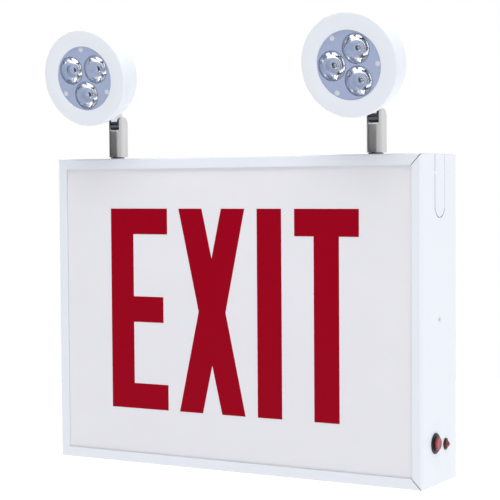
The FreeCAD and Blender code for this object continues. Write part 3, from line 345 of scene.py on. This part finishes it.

# Each finish has its colour, the share and patch size of its slow drift, its grain, the range of its
# roughness and the depth of its relief. A stretch makes it drawn metal, an index makes it clear, and a
# glow is painted light: the surface shines in its own colour though it is no lamp.
finishFacts = {
    "painted_steel": {"colour": (0.80, 0.825, 0.88), "drift": 0.02, "grain": 1100, "rough": (0.34, 0.42),
                      "depth": 0.00003, "specular": 0.4},
    "white_plastic": {"colour": (0.79, 0.815, 0.87), "drift": 0.02, "grain": 2600, "rough": (0.38, 0.46),
                      "depth": 0.00001, "specular": 0.4},
    "face_acrylic": {"colour": (0.79, 0.785, 0.825), "drift": 0.05, "grain": 3000, "rough": (0.5, 0.6),
                     "depth": 0.00001, "specular": 0.3},
    "strip_board": {"colour": (0.86, 0.86, 0.86), "drift": 0.04, "grain": 1500, "rough": (0.4, 0.5),
                    "depth": 0.00002},
    "led_white": {"colour": (0.9, 0.86, 0.62), "drift": 0.06, "grain": 4000, "rough": (0.45, 0.6),
                  "depth": 0.00001, "specular": 0.4},
    "black_plastic": {"colour": (0.006, 0.006, 0.008), "drift": 0.15, "grain": 2200, "rough": (0.22, 0.3),
                      "depth": 0.00001, "specular": 0.3},
    "red_button": {"colour": (0.345, 0.043, 0.060), "drift": 0.1, "grain": 2500, "rough": (0.32, 0.42),
                   "depth": 0.00001},
    "red_dome": {"colour": (0.265, 0.006, 0.014), "drift": 0.1, "grain": 1500, "rough": (0.03, 0.06),
                 "depth": 0.00001, "specular": 0.6},
    "battery_wrap": {"colour": (0.03, 0.09, 0.28), "drift": 0.1, "grain": 500, "rough": (0.2, 0.3),
                     "depth": 0.0001},
    "circuit_board": {"colour": (0.02, 0.18, 0.07), "drift": 0.2, "grain": 700, "rough": (0.3, 0.4),
                      "depth": 0.00003},
    "lens_carrier": {"colour": (0.34, 0.40, 0.58), "drift": 0.12, "grain": 3000, "rough": (0.22, 0.28),
                     "depth": 0.00001},
    "nickel": {"colour": (0.66, 0.645, 0.64), "drift": 0.05, "stretch": (1, 1, 0.04), "grain": 3000,
               "rough": (0.32, 0.38), "depth": 0.000002},
    "dark_chrome": {"colour": (0.075, 0.075, 0.09), "drift": 0.05, "stretch": (0.05, 1, 1), "grain": 2500,
                    "rough": (0.04, 0.09), "depth": 0.000003},
    "plain_steel": {"colour": (0.55, 0.55, 0.54), "drift": 0.1, "stretch": (0.1, 1, 1), "grain": 1500,
                    "rough": (0.3, 0.45), "depth": 0.00002},
    "aluminium": {"colour": (0.72, 0.73, 0.74), "drift": 0.06, "stretch": (1, 1, 0.05), "grain": 1500,
                  "rough": (0.25, 0.4), "depth": 0.00002},
    "clear_optics": {"colour": (0.88, 0.91, 1.0), "drift": 0.02, "patch": 60.0, "grain": 400,
                     "rough": (0.0, 0.03), "index": 1.49},
    "redFilm": {"colour": (0.315, 0.0003, 0.011), "drift": 0.08, "patch": 9.0, "grain": 2500,
                "rough": (0.4, 0.5), "depth": 0.000005, "specular": 0.05},
    # painted glow: the lamp boards shine bluish, standing in for light caught in the clear optics, though
    # they are no lamp
    "lampBoardPaintedGlow": {"colour": (0.70, 0.78, 0.92), "drift": 0.1, "patch": 120.0, "grain": 1500,
                  "rough": (0.4, 0.5), "glow": 0.22},
    "screwPaint": {"colour": (0.72, 0.74, 0.79), "drift": 0.08, "patch": 500.0, "grain": 2000,
                   "rough": (0.3, 0.4), "depth": 0.00001},
    "bossCap": {"colour": (0.62, 0.63, 0.68), "drift": 0.1, "patch": 300.0, "grain": 2500,
                "rough": (0.4, 0.5)},
}


def makeFinish(name, facts, showsGrooveShade=False):
    paint, tree, shader = newFinish(name)
    cast = useGroup(tree, "drift", Colour=(*facts["colour"], 1), Size=facts.get("patch", paintPatch),
                    Amount=facts["drift"])
    tone = cast.outputs["Colour"]
    # painted shade: the scored lines and cut edges are darkened to near black
    if showsGrooveShade:
        grooveShade = useGroup(tree, "grooveShade")
        mixed = tree.nodes.new("ShaderNodeMix")
        mixed.data_type = "RGBA"
        mixed.inputs[7].default_value = grooveShadeColour
        tree.links.new(grooveShade.outputs["Mask"], mixed.inputs["Factor"])
        tree.links.new(tone, mixed.inputs[6])
        tone = mixed.outputs[2]
    tree.links.new(tone, shader.inputs["Base Color"])
    smooth, dull = facts["rough"]
    if "stretch" in facts:
        grain = useGroup(tree, "lines", Stretch=facts["stretch"], Size=facts["grain"],
                         Smooth=smooth, Dull=dull)
        shader.inputs["Metallic"].default_value = 1.0
    else:
        grain = useGroup(tree, "skin", Size=facts["grain"], Smooth=smooth, Dull=dull)
        shader.inputs["Specular IOR Level"].default_value = facts.get("specular", 0.5)
    tree.links.new(grain.outputs["Roughness"], shader.inputs["Roughness"])
    if "depth" in facts:
        addRelief(tree, shader, grain.outputs["Height"], facts["depth"])
    if "index" in facts:
        shader.inputs["Transmission Weight"].default_value = 1.0
        shader.inputs["IOR"].default_value = facts["index"]
    # painted light: a glow makes the surface shine in its own colour
    if "glow" in facts:
        tree.links.new(tone, shader.inputs["Emission Color"])
        shader.inputs["Emission Strength"].default_value = facts["glow"]
    finishes[name] = paint


def makeFinishes():
    for name, facts in finishFacts.items():
        makeFinish(name, facts)
    # the housing and cover paint, with painted shade in its scored lines and cut edges
    for name in ("coverPaintWithGrooveShade", "shellPaintWithGrooveShade"):
        makeFinish(name, finishFacts["painted_steel"], showsGrooveShade=True)
    print("finishes made")


# the lamp boards take the finish with the painted glow, the cover and housing the paint with painted shade
# in its grooves
ownFinish = {"side_cover": "coverPaintWithGrooveShade", "housing_shell": "shellPaintWithGrooveShade", "left_led_board": "lampBoardPaintedGlow",
             "right_led_board": "lampBoardPaintedGlow"}


def dressNodes():
    for name, piece in nodes.items():
        piece.data.materials.clear()
        piece.data.materials.append(finishes[ownFinish.get(name, slotOf[name])])


# modelling steps that the pieces share

mergeGap = 0.000002      # points closer than this are one


def turnPiece(name, profile, sides=72, smooth=35.0, closed=False):
    # a ring of edges, drawn out step by step through (radius, height) pairs in millimetres
    clearSelection()
    radius, height = profile[0]
    bpy.ops.mesh.primitive_circle_add(vertices=sides, radius=radius / 1000, location=(0, 0, 0))
    piece = bpy.context.object
    piece.name = name
    bpy.ops.object.mode_set(mode="EDIT")
    bpy.ops.mesh.select_all(action="SELECT")
    bpy.ops.transform.translate(value=(0, 0, height / 1000))
    if not closed:
        bpy.ops.mesh.edge_face_add()
    for nextRadius, nextHeight in profile[1:]:
        rise = (nextHeight - height) / 1000
        bpy.ops.mesh.extrude_region_move(TRANSFORM_OT_translate={"value": (0, 0, rise)})
        grow = nextRadius / radius
        bpy.ops.transform.resize(value=(grow, grow, 1), center_override=(0, 0, 0))
        radius, height = nextRadius, nextHeight
    bpy.ops.mesh.select_all(action="SELECT")
    bpy.ops.mesh.remove_doubles(threshold=mergeGap)
    bpy.ops.mesh.normals_make_consistent(inside=False)
    bpy.ops.object.mode_set(mode="OBJECT")
    bpy.ops.object.shade_smooth_by_angle(angle=math.radians(smooth))
    return piece


def arc(centre, radius, start, end, steps=6):
    # points of a rounding, in degrees from the outward direction
    turns = [math.radians(start + (end - start) * n / steps) for n in range(steps + 1)]
    return [(centre[0] + radius * math.cos(t), centre[1] + radius * math.sin(t)) for t in turns]


def pickOnly(piece):
    clearSelection()
    piece.select_set(True)
    bpy.context.view_layer.objects.active = piece


def putDown(piece, place):
    # moves a piece to its place and keeps the place in its mesh
    pickOnly(piece)
    piece.matrix_world = place @ piece.matrix_world
    bpy.ops.object.transform_apply(location=True, rotation=True, scale=True)


def closeEnds(piece):
    # fills the open end of a turned piece and makes its faces point outward
    pickOnly(piece)
    bpy.ops.object.mode_set(mode="EDIT")
    bpy.ops.mesh.select_all(action="DESELECT")
    bpy.ops.mesh.select_non_manifold()
    bpy.ops.mesh.edge_face_add()
    bpy.ops.mesh.select_all(action="SELECT")
    bpy.ops.mesh.normals_make_consistent(inside=False)
    bpy.ops.object.mode_set(mode="OBJECT")


def copyPiece(piece, name):
    pickOnly(piece)
    bpy.ops.object.duplicate(linked=False)
    twin = bpy.context.object
    twin.name = name
    return twin


def joinPieces(pieces, name):
    clearSelection()
    for piece in pieces:
        piece.select_set(True)
    bpy.context.view_layer.objects.active = pieces[0]
    if len(pieces) > 1:
        bpy.ops.object.join()
    pieces[0].name = name
    return pieces[0]


def finishPiece(piece, finish, body, slot, *stands):
    piece.data.materials.clear()
    piece.data.materials.append(finishes[finish])
    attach(piece, body)
    if stands:
        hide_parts(*stands)


# lamp heads, drawn round their own axis with the front face at height 0

lamp = {
    "tilt": 11.5,            # degrees that a head leans forward at rest
    "pivotDrop": 54.5,       # the tilt pin below the head's axis
    "pivotBack": 47.94,      # the tilt pin behind the front face
    "radius": 48.5,
    "backRadius": 45.7,
    "depth": 30.0,
    "aperture": 32.2,
    "ringDepth": 8.0,
    "plate": -1.0,           # height of the lens plate's front
    "opticPitch": 17.0,
    "opticTurn": {"left": 30.0, "right": 60.0},
    "bossPitch": 29.0,
    "bossTurn": 60.0,        # degrees from an optic to the next boss
}


def lampPlace(side):
    turned = Matrix.Rotation(math.radians(90 + lamp["tilt"]), 4, "X")
    pivot = jointPlace[side + "_tilt"]
    offset = turned @ Vector((0, -lamp["pivotDrop"] / 1000, -lamp["pivotBack"] / 1000))
    return Matrix.Translation(pivot - offset) @ turned


def ringPlaces(pitch, start):
    turns = [math.radians(start + 120 * n) for n in range(3)]
    return [Matrix.Translation((pitch / 1000 * math.cos(t), pitch / 1000 * math.sin(t), 0)) for t in turns]


def makeThree(first, name, pitch, start):
    # a piece and two copies of it, a third of a turn apart, joined in one
    pieces = [first] + [copyPiece(first, "%s%d" % (first.name, n)) for n in (1, 2)]
    for piece, spot in zip(pieces, ringPlaces(pitch, start)):
        putDown(piece, spot)
    return joinPieces(pieces, name)


ring = {
    "lip": 0.35,             # rounding of the edge of the aperture
    "faceRound": 1.6,
    "spigot": [(46.3, -8.0), (45.9, -11.0), (44.3, -11.0), (44.3, -2.4), (36.55, -2.4), (36.55, -1.0)],
    "sides": 128,
    "smooth": 30.0,
}


def makeRing(side, place):
    edge, inner, plate = lamp["radius"], lamp["aperture"], lamp["plate"]
    lip, soft = ring["lip"], ring["faceRound"]
    profile = [(inner, plate), (inner, -lip)] + arc((inner + lip, -lip), lip, 180, 90, 3)
    profile += arc((edge - soft, -soft), soft, 90, 0, 7)
    profile += [(edge, -lamp["ringDepth"])] + ring["spigot"] + [(inner, plate)]
    piece = turnPiece(side + "FrontRing", profile, ring["sides"], ring["smooth"], closed=True)
    putDown(piece, place)
    finishPiece(piece, "white_plastic", side + "_head", "white_plastic", side + "_trim_ring")


cup = {
    "wall": 2.0,
    "backRound": 4.5,
    "backSteps": 8,
    "sides": 128,
    "smooth": 30.0,
    "postPitch": 39.8,       # screw posts of the ring
    "postTurn": 90,
    "postRadius": 3.0,
    "postTop": -16.65,
    "postFoot": 1.5,         # how far a post starts inside the back wall
    "postBore": 1.45,
    "boreFloor": -25.0,
    "postSides": 24,
}


def makeCup(side, place):
    edge, back, deep = lamp["radius"], lamp["backRadius"], -lamp["depth"]
    wall, soft, top = cup["wall"], cup["backRound"], -lamp["ringDepth"]
    outer = [(wall, deep), (back - soft, deep)]
    outer += arc((back - soft, deep + soft), soft, 270, 353, cup["backSteps"])[1:]
    inner = [(edge - wall, top), (back - wall, deep + soft), (back - soft, deep + wall),
             (wall, deep + wall)]
    piece = turnPiece(side + "Cup", outer + [(edge, top)] + inner, cup["sides"], cup["smooth"])
    closeEnds(piece)
    parts = [piece]
    stud = [(cup["postRadius"], deep + cup["postFoot"]), (cup["postRadius"], cup["postTop"]),
            (cup["postBore"], cup["postTop"]), (cup["postBore"], cup["boreFloor"])]
    for n, spot in enumerate(ringPlaces(cup["postPitch"], cup["postTurn"])):
        post = turnPiece("%sPost%d" % (side, n), stud, cup["postSides"])
        putDown(post, spot)
        parts.append(post)
    piece = joinPieces(parts, side + "Cup")
    putDown(piece, place)
    finishPiece(piece, "white_plastic", side + "_head", "white_plastic", side + "_head_housing")


optic = {
    "rim": 13.9,
    "rimEdge": [(-0.2, -1.2), (0, -1.0), (0, -0.3), (-0.3, 0)],     # from the rim and the lens plate
    "foot": 4.4,
    "depth": 10.0,
    "shoulder": 12.6,        # radius at the top of the curved wall
    "rimDrop": 1.4,
    "wallCurve": 0.62,
    "wallSteps": 8,
    "well": 6.0,
    "wellRound": 0.15,
    "wellTaper": 0.7,
    "wellDepth": 4.2,
    "lens": (5.0, 1.3),      # radius and height of the lens at the bottom of the well
    "cavity": 3.2,
    "cavityTop": 2.9,
    "cavityDepth": 3.4,
    "cavityLens": (2.7, 0.9),
    "lensTurns": (10, 25, 40, 55, 70, 82),
    "sides": 64,
    "smooth": 28.0,
}


def makeOptics(side, place):
    rim, foot, well, plate = optic["rim"], optic["foot"], optic["well"], lamp["plate"]
    floor = plate - optic["depth"]
    turns = [math.radians(angle) for angle in optic["lensTurns"]]
    cavityWide, cavityHigh = optic["cavityLens"]
    cavityTop = floor + optic["cavityDepth"]
    below = [(cavityWide * math.cos(t), cavityTop - cavityHigh * math.sin(t)) for t in reversed(turns)]
    steps, tall = optic["wallSteps"], optic["depth"] - optic["rimDrop"]
    swell = optic["shoulder"] - foot
    wall = [(foot + swell * (n / steps) ** optic["wallCurve"], floor + tall * n / steps)
            for n in range(steps + 1)]
    lensWide, lensHigh = optic["lens"]
    lensTop = plate - optic["wellDepth"]
    front = [(rim + out, plate + up) for out, up in optic["rimEdge"]]
    front += [(well + optic["wellRound"], plate), (well, plate - optic["wellRound"]),
              (well - optic["wellTaper"], lensTop)]
    crown = [(lensWide * math.cos(t), lensTop + lensHigh * math.sin(t)) for t in turns]
    profile = below + [(optic["cavityTop"], cavityTop), (optic["cavity"], floor)] + wall + front + crown
    glass = turnPiece(side + "Optic", profile, optic["sides"], optic["smooth"])
    closeEnds(glass)
    glass = makeThree(glass, side + "ClearOptics", lamp["opticPitch"], lamp["opticTurn"][side])
    putDown(glass, place)
    finishPiece(glass, "clear_optics", side + "_head", "clear_optics", side + "_optics")


bossCap = {
    "profile": [(2.5, -0.99), (2.45, -0.85), (2.1, -0.62), (1.3, -0.52), (0.3, -0.5)],
    "sides": 28,
}


def makeBossCaps(side, place):
    cap = turnPiece(side + "BossCap", bossCap["profile"], bossCap["sides"])
    closeEnds(cap)
    cap = makeThree(cap, side + "BossCaps", lamp["bossPitch"], lamp["opticTurn"][side] + lamp["bossTurn"])
    putDown(cap, place)
    finishPiece(cap, "bossCap", side + "_head", "lens_carrier")


emitter = {
    "floor": -12.0,          # front of the lamp board
    "collar": [(2.5, 0), (2.95, 0), (2.95, 0.9), (2.85, 1.1), (2.6, 1.1), (2.5, 0.9), (2.5, 0)],
    "collarSides": 36,
    "base": 1.75,
    "baseHeight": 0.6,
    "dome": 1.7,
    "domeSides": 32,
}


def makeEmitters(side, place):
    floor = emitter["floor"]
    neck = floor + emitter["baseHeight"]
    collar = turnPiece(side + "Collar", [(out, floor + up) for out, up in emitter["collar"]],
                       emitter["collarSides"], closed=True)
    dome = turnPiece(side + "Dome", [(emitter["base"], floor), (emitter["base"], neck)]
                     + arc((0, neck), emitter["dome"], 0, 80, 7), emitter["domeSides"])
    for first, finish, stands in ((collar, "black_plastic", []), (dome, "led_white", [side + "_emitters"])):
        whole = makeThree(first, first.name + "s", lamp["opticPitch"], lamp["opticTurn"][side])
        putDown(whole, place)
        finishPiece(whole, finish, side + "_head", finish, *stands)


def makeLamps():
    for side in ("left", "right"):
        place = lampPlace(side)
        makeRing(side, place)
        makeCup(side, place)
        makeOptics(side, place)
        makeBossCaps(side, place)
        makeEmitters(side, place)
    print("lamps made")


# knuckles: one folded sheet each, cut from a block, and the turned barrel that carries the head

knuckle = {
    "width": 16.0,
    "sheet": 1.2,
    "bend": 5.0,             # outer radius of the two folds
    "bendSteps": 8,
    "archShare": 0.4999,     # of the depth, so that the ears end in full rounds
    "archSteps": 14,
    "webDrop": 7.3,          # top of the web below the tilt pin
    "notch": 12.0,
    "notchCorner": 1.8,
    "notchSteps": 5,
    "edge": 0.18,            # width of the softened edges
    "edgeAngle": 50,
    "mergeGap": 0.004,
    "smooth": 32,
}


def addBlock(name, size, centre):
    clearSelection()
    bpy.ops.mesh.primitive_cube_add(size=1, location=centre)
    block = bpy.context.object
    block.name = name
    block.scale = size
    bpy.ops.object.transform_apply(location=True, rotation=True, scale=True)
    return block


def roundEdges(piece, along, centre, signs, offset, segments):
    # rounds the straight edges that run along one axis, on the given sides of the centre
    pickOnly(piece)
    bpy.ops.object.mode_set(mode="EDIT")
    bpy.ops.mesh.select_mode(type="EDGE")
    bpy.ops.mesh.select_all(action="DESELECT")
    bpy.ops.object.mode_set(mode="OBJECT")
    for edge in piece.data.edges:
        first, second = (piece.data.vertices[n].co for n in edge.vertices)
        middle = (first + second) / 2 - centre
        run = second - first
        onSide = all(middle[axis] * sign > 0 for axis, sign in signs.items())
        if onSide and abs(run[along]) > 0.9 * run.length:
            edge.select = True
    bpy.ops.object.mode_set(mode="EDIT")
    bpy.ops.mesh.bevel(offset=offset, offset_type="OFFSET", segments=segments, affect="EDGES")
    bpy.ops.mesh.select_mode(type="VERT")
    bpy.ops.object.mode_set(mode="OBJECT")


def combine(piece, other, kind):
    pickOnly(piece)
    step = piece.modifiers.new("combine", "BOOLEAN")
    step.operation = kind
    step.object = other
    step.solver = "EXACT"
    bpy.ops.object.modifier_apply(modifier=step.name)
    bpy.data.objects.remove(other, do_unlink=True)


def makeKnuckle(side, pin):
    wide, sheet, bend, notch = (knuckle[k] / 1000 for k in ("width", "sheet", "bend", "notch"))
    low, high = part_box(side + "_stem")
    deep, tall = high.y - low.y, high.z - low.z
    centre = Vector((pin.x, (low.y + high.y) / 2, (low.z + high.z) / 2))
    piece = addBlock(side + "Knuckle", (wide, deep, tall), centre)
    roundEdges(piece, 2, centre, {1: -1}, bend, knuckle["bendSteps"])
    arch = addBlock("arch", (wide * 1.3, deep, tall), centre)      # wider than the sheet that it trims
    roundEdges(arch, 0, centre, {2: 1}, deep * knuckle["archShare"], knuckle["archSteps"])
    combine(piece, arch, "INTERSECT")
    inside = centre + Vector((0, sheet, sheet))
    room = addBlock("room", (wide - 2 * sheet, deep, tall), inside)
    roundEdges(room, 2, inside, {1: -1}, bend - sheet, knuckle["bendSteps"])
    combine(piece, room, "DIFFERENCE")
    webTop = pin.z - knuckle["webDrop"] / 1000
    gap = Vector((pin.x, low.y, webTop + tall / 2))
    cutter = addBlock("notch", (notch, 4 * bend, tall), gap)
    roundEdges(cutter, 1, gap, {2: -1}, knuckle["notchCorner"] / 1000, knuckle["notchSteps"])
    combine(piece, cutter, "DIFFERENCE")
    pickOnly(piece)
    soften = piece.modifiers.new("soften", "BEVEL")
    soften.width = knuckle["edge"] / 1000
    soften.segments = 2
    soften.limit_method = "ANGLE"
    soften.angle_limit = math.radians(knuckle["edgeAngle"])
    bpy.ops.object.modifier_apply(modifier=soften.name)
    bpy.ops.object.mode_set(mode="EDIT")
    bpy.ops.mesh.select_all(action="SELECT")
    bpy.ops.mesh.remove_doubles(threshold=knuckle["mergeGap"] / 1000)
    bpy.ops.mesh.normals_make_consistent(inside=False)
    bpy.ops.object.mode_set(mode="OBJECT")
    bpy.ops.object.shade_smooth_by_angle(angle=math.radians(knuckle["smooth"]))
    even = piece.modifiers.new("even", "WEIGHTED_NORMAL")
    even.keep_sharp = True
    bpy.ops.object.modifier_apply(modifier=even.name)
    finishPiece(piece, "nickel", side + "_swivel", "nickel", side + "_stem")


barrel = {
    "radius": 6.5,
    "half": 5.5,
    "hub": 4.0,
    "hubRound": (0.2, 0.15),     # where the barrel's end meets the hub
    "bore": 2.1,
    "edge": 0.35,
    "earGap": 0.25,
    "sides": 64,
    "smooth": 30.0,
}


def makeBarrel(side, pin):
    girth, half, hub, edge, bore = (barrel[k] for k in ("radius", "half", "hub", "edge", "bore"))
    out, up = barrel["hubRound"]
    end = knuckle["width"] / 2 - knuckle["sheet"] - barrel["earGap"]
    upper = [(girth, half - edge), (girth - edge, half), (hub + out, half), (hub, half + up),
             (hub, end), (bore, end)]
    profile = [(radius, -height) for radius, height in reversed(upper)] + upper + [(bore, -end)]
    piece = turnPiece(side + "Barrel", profile, barrel["sides"], barrel["smooth"], closed=True)
    putDown(piece, Matrix.Translation(pin) @ Matrix.Rotation(math.radians(90), 4, "Y"))
    finishPiece(piece, "dark_chrome", side + "_head", "dark_chrome", side + "_hinge_barrel")


def makeKnuckles():
    for side in ("left", "right"):
        pin = jointPlace[side + "_tilt"]
        makeKnuckle(side, pin)
        makeBarrel(side, pin)
    print("knuckles made")


# end panel: switch, indicator and screw, each turned round its own axis and laid on the panel

panel = {
    "switch": (-51.4, -115.2),       # place on the panel, y and z in millimetres
    "indicator": (-27.0, -119.0),
    "screw": (-41.0, 0.0),
    "smooth": 25.0,
}


def panelPlace(spot):
    y, z = spot
    lie = Matrix.Rotation(math.radians(90), 4, "Y")
    return Matrix.Translation((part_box("side_cover")[1].x, y / 1000, z / 1000)) @ lie


def innerEnd(box):
    # height of a node's inner end from the panel, in millimetres
    return (box[0].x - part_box("side_cover")[1].x) * 1000


def layOn(piece, spot, finish, body, slot, node):
    putDown(piece, panelPlace(panel[spot]))
    finishPiece(piece, finish, body, slot, node)


switch = {
    "ring": [(6.35, 0.1), (9.7, 0.1), (9.9, 0.3), (9.9, 0.75), (9.6, 1.1), (9.0, 1.35), (8.3, 1.5),
             (7.6, 1.5), (7.3, 1.35), (7.1, 1.0), (6.35, 0.85), (6.35, 0.1)],
    "ringSides": 72,
    "radius": 6.0,
    "proud": 4.4,
    "edge": 0.9,
    "dish": [(4.9, 0), (4.2, -0.05), (3.0, -0.16), (1.6, -0.24), (0.4, -0.27)],
    "clearance": 0.2,                # above the floor of the bore when pressed
    "sides": 64,
    "smooth": 30.0,
}


def makeSwitch():
    piece = turnPiece("switchRing", switch["ring"], switch["ringSides"], panel["smooth"], closed=True)
    layOn(piece, "switch", "black_plastic", "housing", "black_plastic", "switch_ring")


def makeButton():
    low = innerEnd(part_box("test_button")) + switch["clearance"]
    radius, high, edge = switch["radius"], switch["proud"], switch["edge"]
    profile = [(radius, low), (radius, high - edge)] + arc((radius - edge, high - edge), edge, 10, 80, 6)
    profile += [(out, high + up) for out, up in switch["dish"]]
    button = turnPiece("testButton", profile, switch["sides"], switch["smooth"])
    closeEnds(button)
    layOn(button, "switch", "red_button", "button", "red_button", "test_button")


indicator = {
    "rim": [(3.35, 0.1), (5.4, 0.1), (5.6, 0.3), (5.6, 0.6), (5.35, 0.9), (4.8, 1.15), (4.2, 1.3),
            (3.8, 1.3), (3.55, 1.15), (3.35, 0.9), (3.35, 0.1)],
    "rimSides": 56,
    "bore": 3.35,
    "sleeve": 3.9,
    "sleeveTop": 0.15,
    "sleeveSides": 40,
    "dome": 3.25,
    "proud": 4.2,
    "domeSides": 48,
    "domeSmooth": 40.0,
}


def makeHolder():
    rim = turnPiece("indicatorRim", indicator["rim"], indicator["rimSides"], panel["smooth"], closed=True)
    low, high = innerEnd(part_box("indicator_holder")), indicator["sleeveTop"]
    bore, wide = indicator["bore"], indicator["sleeve"]
    profile = [(bore, low), (wide, low), (wide, high), (bore, high), (bore, low)]
    sleeve = turnPiece("indicatorSleeve", profile, indicator["sleeveSides"], panel["smooth"], closed=True)
    holder = joinPieces([rim, sleeve], "indicatorRim")
    layOn(holder, "indicator", "black_plastic", "housing", "black_plastic", "indicator_holder")


def makeDome():
    wide, foot = indicator["dome"], indicator["proud"] - indicator["dome"]
    profile = [(wide, innerEnd(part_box("indicator_dome"))), (wide, foot)] + arc((0, foot), wide, 8, 86, 12)
    dome = turnPiece("indicatorDome", profile, indicator["domeSides"], indicator["domeSmooth"])
    closeEnds(dome)
    layOn(dome, "indicator", "red_dome", "housing", "red_dome", "indicator_dome")


coverScrew = {
    "profile": [(1.55, -7.0), (1.55, -2.0), (3.45, -0.18), (3.6, -0.1), (3.5, -0.02), (2.6, 0.0),
                (1.2, 0.0)],
    "sides": 48,
    "slot": (4.2, 0.9, 2.6),         # length, width and twice the depth of the cross
    "slotEdge": 0.12,
    "turn": 25,
}


def makeCoverScrew():
    screw = turnPiece("coverScrewHead", coverScrew["profile"], coverScrew["sides"], panel["smooth"])
    closeEnds(screw)
    cross = addBlock("crossBlade", tuple(length / 1000 for length in coverScrew["slot"]), (0, 0, 0))
    bpy.ops.object.mode_set(mode="EDIT")
    bpy.ops.mesh.select_all(action="SELECT")
    bpy.ops.mesh.bevel(offset=coverScrew["slotEdge"] / 1000, segments=2)
    bpy.ops.object.mode_set(mode="OBJECT")
    other = copyPiece(cross, "crossSlot")
    putDown(other, Matrix.Rotation(math.radians(90), 4, "Z"))
    for cutter in (cross, other):
        combine(screw, cutter, "DIFFERENCE")
    bpy.ops.object.shade_smooth_by_angle(angle=math.radians(panel["smooth"]))
    putDown(screw, panelPlace(panel["screw"]) @ Matrix.Rotation(math.radians(coverScrew["turn"]), 4, "Z"))
    finishPiece(screw, "screwPaint", "housing", "painted_steel", "cover_screw")


def makePanel():
    makeSwitch()
    makeHolder()
    makeButton()
    makeDome()
    makeCoverScrew()
    print("panel pieces made")


# the word on the face

word = {
    "film": 0.00015,
    "letters": {        # outlines in millimetres from the middle of the face, seen from the front
        "letterE": [(-140.4, -99.1), (-72.2, -99.1), (-72.2, -73.5), (-113.05, -73.5), (-113.05, -10.9),
                    (-77.4, -10.9), (-77.4, 15.0), (-113.05, 15.0), (-113.05, 78.2), (-72.2, 78.2),
                    (-72.2, 104.1), (-140.4, 104.1)],
        "letterX": [(-58.6, -99.1), (-31.6, -99.1), (-20.4, -50.9), (-9.2, -99.1), (17.3, -99.1),
                    (-4.8, 2.0), (17.3, 104.1), (-9.2, 104.1), (-20.4, 54.7), (-31.6, 104.1),
                    (-58.6, 104.1), (-35.7, 2.0)],
        "letterI": [(31.1, -99.1), (58.1, -99.1), (58.1, 104.1), (31.1, 104.1)],
        "letterT": [(93.1, -99.1), (119.9, -99.1), (119.9, 77.9), (140.8, 77.9), (140.8, 104.1),
                    (72.3, 104.1), (72.3, 77.9), (93.1, 77.9)],
    },
}


def makeWord():
    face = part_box("face_panel")[0].y
    for name, corners in word["letters"].items():
        path = bpy.data.curves.new(name, "CURVE")
        path.dimensions = "2D"
        path.fill_mode = "BOTH"
        line = path.splines.new("POLY")
        line.points.add(len(corners) - 1)
        for point, (x, z) in zip(line.points, corners):
            point.co = (x / 1000, z / 1000, 0, 1)
        line.use_cyclic_u = True
        path.extrude = word["film"] / 2
        letter = bpy.data.objects.new(name, path)
        bpy.context.scene.collection.objects.link(letter)
        pickOnly(letter)
        bpy.ops.object.convert(target="MESH")
        letter.rotation_euler = (math.radians(90), 0, 0)
        letter.location = (0, face - word["film"] / 2, 0)
        bpy.ops.object.transform_apply(location=True, rotation=True, scale=True)
        letter.data.materials.clear()
        letter.data.materials.append(finishes["redFilm"])
        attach(letter, "housing")
    print("word made")


makeCamera()
makeEffects()
makeStudio()
makeFloor()
makeFinishes()
dressNodes()
makeWord()
makeLamps()
makeKnuckles()
makePanel()
